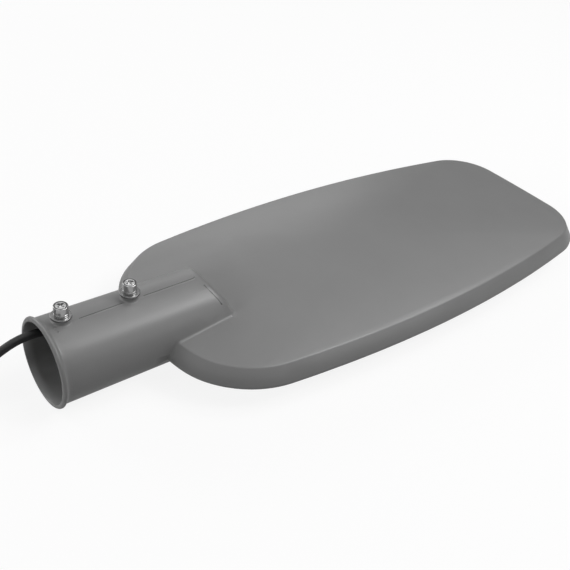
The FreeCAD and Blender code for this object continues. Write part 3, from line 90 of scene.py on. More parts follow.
class StreetLightSizes(bpy.types.PropertyGroup):
    """Sizes of the parts that are modelled here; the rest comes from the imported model."""

    head_round: length("Screw head rounding", "Rounding round the top of a clamp screw", 0.5)
    head_rim: length("Screw head rim", "Width of the rim round a clamp screw's top", 0.4)
    head_groove: length("Screw head groove", "Width of the groove inside the rim", 1.0)
    seat_drop: length("Seat drop", "How far the bosses' tops are cut back for the thick washers", 2.0)
    washer_thick: length("Washer thickness", "Thickness of the plain washers", 1.6)
    recess_depth: length("Recess depth", "Depth of a clamp screw's cross recess", 2.4)
    recess_width: length("Recess width", "Width of a wing of the cross recess", 1.5)
    recess_reach: length("Recess reach", "Reach of the cross recess from the middle", 3.0)
    thread_pitch: length("Thread pitch", "Pitch of the clamp screws' thread", 1.0)
    thread_depth: length("Thread depth", "Depth of the clamp screws' thread", 0.35)
    washer_round: length("Washer rounding", "Rounding of the washers' edges", 0.35)
    line_half: length("Parting line half width", "Half width of the casting's parting line", 0.5)
    line_proud: length("Parting line height", "How far the parting line stands proud", 0.2)
    seam_half: length("Seam half width", "Half width of the seam beside the parting line", 0.5)
    seam_proud: length("Seam height", "How far the seam stands proud", 0.06)
    mouth_funnel: length("Mouth funnel", "How much wider than the bore the mouth opens", 1.3)
    mouth_lip: length("Mouth lip", "Flat lip round the opening at the socket's mouth", 0.7)
    mouth_roll: length("Mouth roll", "How far back the bead's roll reaches", 1.8)
    cable_length: length("Cable length", "Length of the supply cable from gland to bare end", 754.0)
    cable_diameter: length("Cable diameter", "Outside diameter of the supply cable", 6.4)
    coil_outer: length("Outer turn", "Radius of the coil's outer turn", 38.4)
    coil_inner: length("Inner turn", "Radius of the coil's inner turn", 32.0)
    coil_top: length("Top turn", "Radius of the turn that lies on top", 35.2)
    coil_rise: length("Top turn height", "How much higher the top turn lies", 5.6)


class StreetLightColours(bpy.types.PropertyGroup):
    """Colours of the finishes."""

    paint: colour("Powder coat", "Grey powder coat on the casting", "838383")
    steel: colour("Zinc", "Bright zinc plating on the screws", "c3c3c3")
    aluminium: colour("Mill aluminium", "Bare aluminium sheet", "c3c4c5")
    sheath: colour("Cable sheath", "Black rubber of the supply cable", "1c1c1d")
    silicone: colour("Silicone", "Dark grey silicone rubber", "3a3a3c")
    glass: colour("Glass", "Tint of the toughened glass", "e6f0ec")


class StreetLightView(bpy.types.PropertyGroup):
    """The camera."""

    azimuth: bearing("Azimuth", "Turn round the head", -43.22)
    elevation: bearing("Elevation", "Height above the horizon", 36.01)
    roll: bearing("Roll", "Roll about the line of sight", 8.245)
    focal: bpy.props.FloatProperty(
        name="Focal length", description="Lens on a 36 mm wide sensor", default=52.67
    )
    distance: length("Distance", "From the camera to what it looks at", 704.4)
    target: bpy.props.FloatVectorProperty(
        name="Target",
        description="What the camera looks at",
        subtype="TRANSLATION",
        size=3,
        default=(0.21258, -0.01223, 0.0),
    )


def sizes():
    return bpy.context.scene.street_light_sizes


def colours():
    return bpy.context.scene.street_light_colours


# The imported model's lowest height, where the bead at the mouth rests, and the sizes of its socket.
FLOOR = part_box("housing")[0][2]
BORE = 30.4 * MM
TUBE_AT_MOUTH = 33.0 * MM
TUBE_AT_HEAD = 32.3 * MM
TUBE_LONG = 167.0 * MM

# Faces that meet at a sharper angle than this, in degrees, keep a sharp edge between them.
SHARP = 32


def tube_radius(x):
    """Radius of the drafted socket tube at x."""
    return TUBE_AT_MOUTH + (TUBE_AT_HEAD - TUBE_AT_MOUTH) * x / TUBE_LONG


def ease(value, low, high):
    """0 before low, 1 after high, and a smooth rise between."""
    share = min(1.0, max(0.0, (value - low) / (high - low)))
    return share * share * (3 - 2 * share)


def islands(node):
    """The separate solids of a CAD node: (lowest corner, highest corner) of each, sorted by place."""
    mesh = bmesh.new()
    mesh.from_mesh(frame["nodes"][node].data)
    bmesh.ops.remove_doubles(mesh, verts=mesh.verts, dist=1e-6)
    boxes, seen = [], set()
    for start in mesh.verts:
        if start in seen:
            continue
        seen.add(start)
        stack, points = [start], []
        while stack:
            vert = stack.pop()
            points.append(vert.co.copy())
            for edge in vert.link_edges:
                other = edge.other_vert(vert)
                if other not in seen:
                    seen.add(other)
                    stack.append(other)
        low = Vector([min(p[i] for p in points) for i in range(3)])
        high = Vector([max(p[i] for p in points) for i in range(3)])
        boxes.append((low, high))
    mesh.free()
    return sorted(boxes, key=lambda box: (round(box[0].x, 5), round(box[0].y, 5)))


def middles(boxes):
    """The middles of the boxes as seen from above, at height 0."""
    return [((low.x + high.x) / 2, (low.y + high.y) / 2, 0.0) for low, high in boxes]


def add(name, data, material=None):
    """A new object in the scene, with the material if one is given."""
    piece = bpy.data.objects.new(name, data)
    bpy.context.scene.collection.objects.link(piece)
    if material:
        data.materials.clear()
        data.materials.append(material)
    return piece


def plain(source, name):
    """The evaluated object as a plain mesh piece; the source goes away."""
    graph = bpy.context.evaluated_depsgraph_get()
    mesh = bpy.data.meshes.new_from_object(source.evaluated_get(graph))
    source.name = name + "_source"
    source.data.name = name + "_source"
    mesh.name = name
    piece = add(name, mesh)
    bpy.data.objects.remove(source)
    return piece


def finished(piece, *nodes, slot):
    """A finished piece: it rides with the body and stands for the CAD nodes, which are hidden. The slot is
    not used.
    """
    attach(piece, BODY)
    if nodes:
        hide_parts(*nodes)


def add_node(tree, kind, links=None, values=None, **settings):
    """A node with its settings; links and values are kept by the input's name or number."""
    node = tree.nodes.new(kind)
    for name, value in settings.items():
        setattr(node, name, value)
    for key, value in (values or {}).items():
        node.inputs[key].default_value = value
    for key, output in (links or {}).items():
        tree.links.new(output, node.inputs[key])
    return node


# Nearly all of a noise texture lies between these two values.
NOISE_SPAN = {"From Min": 0.3, "From Max": 0.7}


def surface(name, rgb, tint=None, rough=None, bumps=(), stretch=None, **constants):
    """A material whose colour, roughness and skin follow noise in object coordinates.

    Each pattern starts with its size in millimetres and its detail. The tint goes on with how much it
    darkens and lightens the colour, rough with the lowest and highest roughness, and each of the bumps, the
    lowest first, with its depth in millimetres. The constants are inputs of the shader, with _ for a space.
    """
    material = bpy.data.materials.new(name)
    material.use_nodes = True
    tree = material.node_tree
    tree.nodes.clear()
    place = add_node(tree, "ShaderNodeTexCoord").outputs["Object"]
    shader = add_node(tree, "ShaderNodeBsdfPrincipled")
    add_node(tree, "ShaderNodeOutputMaterial", {"Surface": shader.outputs[0]})
    shader.inputs["Base Color"].default_value = (*rgb, 1.0)
    for key, value in constants.items():
        shader.inputs[key.replace("_", " ")].default_value = value
    if stretch:
        place = add_node(tree, "ShaderNodeMapping", {"Vector": place}, {"Scale": stretch}).outputs[0]
    made = {}
    for size, detail in dict.fromkeys(pattern[:2] for pattern in (tint, rough, *bumps) if pattern):
        values = {"Scale": 1 / (size * MM), "Detail": detail, "Roughness": 0.55}
        made[size, detail] = add_node(tree, "ShaderNodeTexNoise", {"Vector": place}, values).outputs["Fac"]
    if tint:
        size, detail, change = tint
        share = add_node(tree, "ShaderNodeMapRange", {"Value": made[size, detail]}, NOISE_SPAN).outputs[0]
        values = {
            "A": (*(c * (1 - change) for c in rgb), 1.0),
            "B": (*(min(1.0, c * (1 + change)) for c in rgb), 1.0),
        }
        mixed = add_node(tree, "ShaderNodeMix", {"Factor": share}, values, data_type="RGBA")
        tree.links.new(mixed.outputs["Result"], shader.inputs["Base Color"])
    if rough:
        size, detail, low, high = rough
        values = {**NOISE_SPAN, "To Min": low, "To Max": high}
        level = add_node(tree, "ShaderNodeMapRange", {"Value": made[size, detail]}, values).outputs[0]
        tree.links.new(level, shader.inputs["Roughness"])
    under = {}
    for size, detail, depth in bumps:
        links = {"Height": made[size, detail], **under}
        values = {"Strength": 1.0, "Distance": depth * MM}
        under = {"Normal": add_node(tree, "ShaderNodeBump", links, values).outputs["Normal"]}
        tree.links.new(under["Normal"], shader.inputs["Normal"])
    return material


def powder_coat(name, rgb):
    """Satin polyester powder on die-cast aluminium: an even grey skin with fine orange peel, over a casting
    whose faces are very slightly wavy."""
    peel = (0.9, 2.0)
    bumps = ((14.0, 2.0, 0.03), (*peel, 0.012))
    return surface(name, rgb, tint=(38.0, 3.0, 0.02), rough=(*peel, 0.33, 0.4), bumps=bumps)


def bright_plate(name, rgb):
    """Bright plating on turned or drawn metal: mirror-like and slightly blurred, with tool marks that are
    drawn coarser than real ones, so that they show."""
    bumps = ((0.25, 2.0, 0.004),)
    return surface(name, rgb, tint=(2.4, 3.0, 0.06), rough=(1.6, 3.0, 0.1, 0.2), bumps=bumps, Metallic=1.0)


def barrel_plate():
    """Barrel-plated pressed steel: the same zinc as the screws', but duller and darker. The darker colour is
    partly dull zinc and partly painted shade, for the washers' dark look under the screw heads.
    """
    rgb = srgb("868686")
    rough = (0.8, 3.0, 0.16, 0.3)
    return surface("barrel_plated_washer_steel", rgb, tint=(1.8, 3.0, 0.12), rough=rough, Metallic=1.0)


def mill_aluminium():
    """Rolled aluminium sheet: soft streaks along the rolling direction, X here."""
    streak = (0.5, 3.0)
    return surface(
        "mill_finish_aluminium",
        colours().aluminium,
        tint=(*streak, 0.05),
        rough=(*streak, 0.3, 0.42),
        stretch=(0.04, 1.0, 1.0),
        Metallic=1.0,
    )


def toughened_glass():
    """Clear float glass with a faint green in its thickness; the grime is too faint to see from afar."""
    rough = (30.0, 3.0, 0.0, 0.02)
    return surface("toughened_glass", colours().glass, rough=rough, Transmission_Weight=1.0, IOR=1.52)


def lens_acrylic():
    """Optical acrylic, injection moulded and clear, with the gate's faint flow marks."""
    rough = (6.0, 3.0, 0.03, 0.1)
    return surface("moulded_clear_acrylic", srgb("f4f5f6"), rough=rough, Transmission_Weight=1.0, IOR=1.49)


def lamp_chip():
    """The lamp chips: yellow phosphor, slightly uneven."""
    return surface("phosphor_lamp_chip", srgb("e3cf5b"), tint=(0.6, 3.0, 0.1), Roughness=0.5)


def moulded(name, rgb, low, high, grain_mm, depth_mm, change=0.04):
    """A moulded or extruded plastic or rubber: one colour, a fine grain and its own gloss, from the lowest
    to the highest roughness. The colour drifts over about nine grains."""
    grain = (grain_mm, 2.0)
    tint = (9 * grain_mm, 3.0, change)
    return surface(name, rgb, tint=tint, rough=(*grain, low, high), bumps=((*grain, depth_mm),), IOR=1.5)


def lead_sheath(label, code):
    """Thin extruded sheath of a lead: smoother and glossier than the cable's rubber."""
    return moulded(f"extruded_{label}_lead_sheath", srgb(code), 0.35, 0.45, 0.4, 0.004)


# Every finish by the record's material slot; finish_of fills it.
FINISHES = {}


def make_finishes():
    """Makes every finish that the record's material slots name."""
    tone = colours()
    FINISHES.update(
        die_cast_aluminium=powder_coat("powder_coated_casting", tone.paint),
        plated_steel=bright_plate("bright_zinc_plated_steel", tone.steel),
        sheet_aluminium=mill_aluminium(),
        toughened_glass=toughened_glass(),
        silicone_rubber=moulded("moulded_silicone_rubber", tone.silicone, 0.6, 0.75, 0.7, 0.01),
        heat_pad=moulded("soft_silicone_heat_pad", srgb("8f949c"), 0.7, 0.85, 0.8, 0.02),
        white_board=moulded("white_solder_mask", srgb("e4e4df"), 0.3, 0.42, 1.2, 0.004),
        lamp_chip=lamp_chip(),
        clear_acrylic=lens_acrylic(),
        white_plastic=moulded("moulded_white_polyamide", srgb("dcdcd6"), 0.45, 0.6, 0.5, 0.008),
        black_plastic=moulded("moulded_black_polyamide", srgb("232324"), 0.42, 0.58, 0.4, 0.01),
        cable_rubber=moulded("extruded_black_rubber_sheath", tone.sheath, 0.42, 0.6, 0.5, 0.02, 0.12),
        wire_sheath=lead_sheath("brown", "5a3a26"),
        tinned_copper=bright_plate("tinned_copper", tone.steel),
    )


def finish_of(slot):
    """The finish of a material slot in the record."""
    if not FINISHES:
        make_finishes()
    return FINISHES[slot]


def slot_of(node):
    """The record's material slot of a CAD node."""
    return next(p["material_slot"] for p in frame["record"]["subparts"] if p["node"] == node)


def merged_copy(node, name):
    """A copy of a CAD node with its loose triangles joined up."""
    mesh = frame["nodes"][node].data.copy()
    mesh.name = name
    joined = bmesh.new()
    joined.from_mesh(mesh)
    bmesh.ops.remove_doubles(joined, verts=joined.verts, dist=2e-6)
    bmesh.ops.dissolve_degenerate(joined, edges=joined.edges, dist=1e-7)
    joined.to_mesh(mesh)
    joined.free()
    return add(name, mesh, finish_of(slot_of(node)))


def shade(piece, angle=SHARP):
    """Smooth shading up to that angle, in degrees, between faces."""
    mesh = piece.data
    mesh.polygons.foreach_set("use_smooth", [True] * len(mesh.polygons))
    mesh.set_sharp_from_angle(angle=math.radians(angle))


def lathe(profile, turns):
    """A closed ring of faces turned about Z from a closed outline of (radius, height) pairs."""
    mesh = bmesh.new()
    rings = []
    for step in range(turns):
        angle = 2 * math.pi * step / turns
        c, s = math.cos(angle), math.sin(angle)
        rings.append([mesh.verts.new((r * c, r * s, z)) for r, z in profile])
    for step in range(turns):
        here, there = rings[step], rings[(step + 1) % turns]
        for i in range(len(profile)):
            j = (i + 1) % len(profile)
            mesh.faces.new((here[i], there[i], there[j], here[j]))
    bmesh.ops.remove_doubles(mesh, verts=mesh.verts, dist=1e-7)
    bmesh.ops.dissolve_degenerate(mesh, edges=mesh.edges, dist=1e-8)
    bmesh.ops.recalc_face_normals(mesh, faces=mesh.faces)
    return mesh


def rounded(corner, before, after, radius, steps=5):
    """Points of a round corner, from the side of before to the side of after."""
    corner, before, after = Vector(corner), Vector(before), Vector(after)
    back, ahead = (before - corner).normalized(), (after - corner).normalized()
    half = back.angle(ahead) / 2
    trim = radius / math.tan(half)
    middle = corner + (back + ahead).normalized() * (radius / math.sin(half))
    first = corner + back * trim - middle
    turn = first.angle_signed(corner + ahead * trim - middle)
    points = []
    for step in range(steps + 1):
        angle = -turn * step / steps
        c, s = math.cos(angle), math.sin(angle)
        points.append((middle.x + first.x * c - first.y * s, middle.y + first.x * s + first.y * c))
    return points


def soft_outline(corners):
    """An outline with (x, y, radius) corners, the round ones as points on arcs."""
    points = []
    for i, (x, y, radius) in enumerate(corners):
        if radius:
            before, after = corners[i - 1][:2], corners[(i + 1) % len(corners)][:2]
            points += rounded((x, y), before, after, radius)
        else:
            points.append((x, y))
    return points


def cross_tool(width, reach, depth, over):
    """A tapered cross, widest at z = over and pointed at z = -depth, that cuts a screw's recess."""
    mesh = bmesh.new()
    rings = []
    quarters = ((1, 0), (0, 1), (-1, 0), (0, -1))
    # The wings reach out by these shares of their reach, and grow thinner at under half that rate.
    for z, share in ((over, 1.0 + 0.35 * over / depth), (-0.55 * depth, 0.72), (-depth, 0.3)):
        w = width / 2 * (0.55 + 0.45 * share)
        r = reach * share
        ring = []
        for c, s in quarters:
            for x, y in ((r, -w), (r, w), (w, w)):
                ring.append(mesh.verts.new((x * c - y * s, x * s + y * c, z)))
        rings.append(ring)
    for low, high in zip(rings[1:], rings):
        count = len(low)
        for i in range(count):
            j = (i + 1) % count
            mesh.faces.new((low[i], low[j], high[j], high[i]))
    mesh.faces.new(rings[0])
    mesh.faces.new(list(reversed(rings[-1])))
    bmesh.ops.recalc_face_normals(mesh, faces=mesh.faces)
    return mesh


def as_object(name, mesh):
    """A bmesh as an object in the scene."""
    data = bpy.data.meshes.new(name)
    mesh.to_mesh(data)
    mesh.free()
    return add(name, data)


def with_recess(head, tool):
    """The screw's head with the cross cut out of it, as a plain mesh object."""
    cutter = head.modifiers.new("cross_recess", "BOOLEAN")
    cutter.operation, cutter.solver, cutter.object = "DIFFERENCE", "EXACT", tool
    made = plain(head, head.name)
    bpy.data.objects.remove(tool)
    return made


def new_tree(name, inputs):
    """A Geometry Nodes tree with one output and the named inputs, each of its kind, and their sockets."""
    tree = bpy.data.node_groups.new(name, "GeometryNodeTree")
    for label, kind in inputs.items():
        tree.interface.new_socket(label, in_out="INPUT", socket_type="NodeSocket" + kind)
    tree.interface.new_socket("Made", in_out="OUTPUT", socket_type="NodeSocketGeometry")
    return tree, add_node(tree, "NodeGroupInput").outputs


def end_tree(tree, made, finish):
    """Ends a tree: its instances are realized and its faces take the finish."""
    real = add_node(tree, "GeometryNodeRealizeInstances", {"Geometry": made}).outputs[0]
    links = {"Geometry": real, "Material": finish}
    painted = add_node(tree, "GeometryNodeSetMaterial", links).outputs[0]
    add_node(tree, "NodeGroupOutput", {"Made": painted})
    return tree


def pattern_on_places():
    """Geometry Nodes: the pattern on each vertex, each turned by a random angle about Z."""
    numbers = {"Turn": "Float", "Seed": "Int"}
    inputs = {"Places": "Geometry", "Pattern": "Object", **numbers, "Finish": "Material"}
    tree, given = new_tree("pattern_on_places", inputs)
    links = {"Object": given["Pattern"]}
    pattern = add_node(tree, "GeometryNodeObjectInfo", links, transform_space="ORIGINAL")
    turn = add_node(tree, "FunctionNodeRandomValue", {"Seed": given["Seed"]}, data_type="FLOAT")
    low, high = (next(s for s in turn.inputs if s.name == n and s.type == "VALUE") for n in ("Min", "Max"))
    low.default_value = 0.0
    tree.links.new(given["Turn"], high)
    angle = next(s for s in turn.outputs if s.type == "VALUE")
    about_z = add_node(tree, "ShaderNodeCombineXYZ", {"Z": angle}).outputs[0]
    links = {"Points": given["Places"], "Instance": pattern.outputs["Geometry"], "Rotation": about_z}
    placed = add_node(tree, "GeometryNodeInstanceOnPoints", links).outputs[0]
    return end_tree(tree, placed, given["Finish"])


def bead_on_path():
    """Geometry Nodes: a round bead along a path."""
    inputs = {"Path": "Geometry", "Radius": "Float", "Spacing": "Float", "Finish": "Material"}
    tree, given = new_tree("bead_on_path", inputs)
    links = {"Curve": given["Path"], "Length": given["Spacing"]}
    even = add_node(tree, "GeometryNodeResampleCurve", links, mode="LENGTH").outputs[0]
    links = {"Radius": given["Radius"]}
    ring = add_node(tree, "GeometryNodeCurvePrimitiveCircle", links, {"Resolution": 12})
    links = {"Curve": even, "Profile Curve": ring.outputs[0]}
    tube = add_node(tree, "GeometryNodeCurveToMesh", links, {"Fill Caps": True}).outputs[0]
    return end_tree(tree, tube, given["Finish"])


def run_tree(source, maker, name, values):
    """The source with the maker's Geometry Nodes tree run on it, as a plain mesh piece."""
    tree = bpy.data.node_groups.get(maker.__name__) or maker()
    modifier = source.modifiers.new(tree.name, "NODES")
    modifier.node_group = tree
    sockets = {item.name: item.identifier for item in tree.interface.items_tree if item.in_out == "INPUT"}
    for key, value in values.items():
        modifier[sockets[key]] = value
    return plain(source, name)


def at_places(name, points, pattern, material, turn=0.0, seed=1):
    """Copies of the pattern object at the points, turned at random up to that angle, as one piece."""
    data = bpy.data.meshes.new(name + "_places")
    data.from_pydata([tuple(p) for p in points], [], [])
    source = add(name + "_places", data)
    values = {"Pattern": pattern, "Turn": turn, "Seed": seed, "Finish": material}
    made = run_tree(source, pattern_on_places, name, values)
    bpy.data.objects.remove(pattern)
    return made


def soft_curve(name, points, resolution):
    """A smooth curve that starts and ends at its outer points, as curve data."""
    data = bpy.data.curves.new(name, "CURVE")
    data.dimensions = "3D"
    spline = data.splines.new("NURBS")
    spline.points.add(len(points) - 1)
    for point, place in zip(spline.points, points):
        point.co = (*place, 1.0)
    spline.order_u = 3
    spline.use_endpoint_u = True
    spline.resolution_u = resolution
    return data


class STREETLIGHT_OT_casting(bpy.types.Operator):
    """The painted casting, with the flash, and the seam and short crease on its socket's top in painted
    shade
    """

    bl_idname = "streetlight.casting"
    bl_label = "Casting"

    # The socket's end is made anew from the mouth to the cut, and the new end stops this far before it.
    MOUTH_CUT = 7.4 * MM
    MOUTH_GAP = 0.5 * MM
    MOUTH_STEPS = 144
    ROLL_STEPS = 10
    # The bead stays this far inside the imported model's.
    BEAD_SHORT = 0.3 * MM
    # Places on the mouth's outline in millimetres: how far out from the funnel's edge, the bead or the
    # tube's wall, and how far back from the mouth.
    FUNNEL_DEEP = 4.0
    FUNNEL = ((-0.15, 0.6), (0.0, 0.15), (0.2, 0.0))
    BEAD_BACK = ((0.0, 2.2), (-0.35, 2.7), (-1.1, 3.3))
    BEAD_FOOT = ((0.25, 4.1), (0.05, 4.8), (0.0, 5.5))

    # The head's shoulder starts beyond this x, or this far out in y. Its change comes in over the third
    # length and between the two heights. It goes down by the next and loses the last share of its y.
    SHOULDER_X = 178.0 * MM
    SHOULDER_Y = 36.0 * MM
    SHOULDER_EASE = 30.0 * MM
    SHOULDER_HEIGHTS = (-20.0 * MM, -12.2 * MM)
    SHOULDER_DOWN = 1.4 * MM
    SHOULDER_IN = 0.0207
    # The bosses' tops go down between these heights.
    BOSS_HEIGHTS = (35.0 * MM, 38.0 * MM)
    # The hood's end goes ahead by the last, and the change comes in between these places in x and in z.
    HOOD_END = (124.0 * MM, 130.0 * MM)
    HOOD_HEIGHTS = (13.0 * MM, 19.0 * MM)
    HOOD_AHEAD = 2.4 * MM

    # Paths on the top of the tube, (x, y) in metres: the seam, and the crease across the near side of the
    # hood's end. The flash runs beside the seam.
    SEAM = (
        (0.0102, -0.0085), (0.0075, -0.0062), (0.0084, -0.0044), (0.013, -0.0038), (0.045, -0.0034),
        (0.085, -0.003), (0.1235, -0.0026), (0.1262, -0.0022), (0.1272, -0.0008), (0.1268, 0.0008),
        (0.1252, 0.0014),
    )
    CREASE = ((0.1287, -0.0112), (0.1296, -0.0148), (0.132, -0.0196), (0.1345, -0.0236), (0.1362, -0.0262))
    CREASE_PROUD = 0.2 * MM
    FLASH_ASIDE = -0.8 * MM
    BEAD_SPACING = 0.8 * MM
    BEAD_SHARP = 60

    def execute(self, context):
        casting = merged_copy("housing", "casting")
        self.rolled_mouth(casting)
        self.draw_in(casting)
        shade(casting)
        finished(casting, "housing", slot="die_cast_aluminium")
        self.lines_on_top()
        return {"FINISHED"}

    def mouth_outline(self, wall):
        """(radius, x) from inside the bore, over the lip and the bead, to the wall of the tube."""
        size = sizes()
        start = self.MOUTH_CUT - self.MOUTH_GAP
        edge = BORE + size.mouth_funnel
        lip = edge + size.mouth_lip
        proud = -FLOOR - self.BEAD_SHORT
        outline = [(BORE, start), (BORE, self.FUNNEL_DEEP * MM)]
        outline += [(edge + out * MM, x * MM) for out, x in self.FUNNEL]
        for step in range(self.ROLL_STEPS + 1):
            angle = math.pi / 2 * step / self.ROLL_STEPS
            outline.append((lip + (proud - lip) * math.sin(angle), size.mouth_roll * (1 - math.cos(angle))))
        outline += [(proud + out * MM, x * MM) for out, x in self.BEAD_BACK]
        outline += [(wall + out * MM, x * MM) for out, x in self.BEAD_FOOT]
        outline.append((wall, start))
        return outline

    def rolled_mouth(self, casting):
        """Turns the mouth's end anew: a thin lip round the bore, and a bead that rolls back from it."""
        turns = self.MOUTH_STEPS
        wall = tube_radius(self.MOUTH_CUT)
        mesh = bmesh.new()
        mesh.from_mesh(casting.data)
        everything = mesh.verts[:] + mesh.edges[:] + mesh.faces[:]
        place, along = Vector((self.MOUTH_CUT, 0, 0)), Vector((1, 0, 0))
        bmesh.ops.bisect_plane(mesh, geom=everything, plane_co=place, plane_no=along, clear_inner=True)
        cut = [edge for edge in mesh.edges if edge.is_boundary]
        rings = []
        for radius, x in self.mouth_outline(wall):
            ring = []
            for step in range(turns):
                angle = 2 * math.pi * step / turns
                ring.append(mesh.verts.new((x, radius * math.cos(angle), radius * math.sin(angle))))
            rings.append(ring)
        for low, high in zip(rings, rings[1:]):
            for step in range(turns):
                other = (step + 1) % turns
                mesh.faces.new((low[step], low[other], high[other], high[step]))
        middle = (BORE + wall) / 2
        for ring, inside in ((rings[0], True), (rings[-1], False)):
            own = [mesh.edges.get((ring[i], ring[(i + 1) % turns])) for i in range(turns)]
            matching = [e for e in cut if (math.hypot(*e.verts[0].co.yz) < middle) == inside]
            bmesh.ops.bridge_loops(mesh, edges=own + matching)
        bmesh.ops.recalc_face_normals(mesh, faces=mesh.faces)
        mesh.to_mesh(casting.data)
        mesh.free()

    def draw_in(self, casting):
        """Brings the head's shoulder in and down a little, to the outline that the photograph shows, cuts
        the bosses' tops back and takes the hood's end a little further."""
        drop = sizes().seat_drop
        for vert in casting.data.vertices:
            x, y, z = vert.co
            away = max(x - self.SHOULDER_X, abs(y) - self.SHOULDER_Y)
            share = ease(away, 0.0, self.SHOULDER_EASE) * ease(z, *self.SHOULDER_HEIGHTS)
            z -= self.SHOULDER_DOWN * share + drop * ease(z, *self.BOSS_HEIGHTS)
            end = ease(x, *self.HOOD_END) * ease(z, *self.HOOD_HEIGHTS)
            vert.co = (x + self.HOOD_AHEAD * end, y * (1 - self.SHOULDER_IN * share), z)

    def lines_on_top(self):
        """The flash along the tube's top, which ends in a small curl before the hood's end, the seam beside
        it and the crease. The seam and the crease are dark, as painted shade in those lines. Each is a bead
        sunk below the skin."""
        size = sizes()
        # The seam and the crease are dark beads of painted shade, not a darker powder coat.
        painted_seam_shade = powder_coat("thin_powder_in_the_seam", srgb("4e4e4e"))
        paint = finish_of("die_cast_aluminium")
        for name, line, half, proud, aside, finish in (
            ("parting_line", self.SEAM, size.line_half, size.line_proud, self.FLASH_ASIDE, paint),
            ("parting_seam", self.SEAM, size.seam_half, size.seam_proud, 0.0, painted_seam_shade),
            ("hood_end_crease", self.CREASE, size.seam_half, self.CREASE_PROUD, 0.0, painted_seam_shade),
        ):
            radius = (half**2 + proud**2) / (2 * proud)
            points = []
            for x, y in line:
                height = math.sqrt((tube_radius(x) - radius + proud) ** 2 - (y + aside) ** 2)
                points.append((x, y + aside, height))
            path = add(name + "_path", soft_curve(name + "_path", points, 16))
            values = {"Radius": radius, "Spacing": self.BEAD_SPACING, "Finish": finish}
            bead = run_tree(path, bead_on_path, name, values)
            shade(bead, self.BEAD_SHARP)
            finished(bead, slot="die_cast_aluminium")


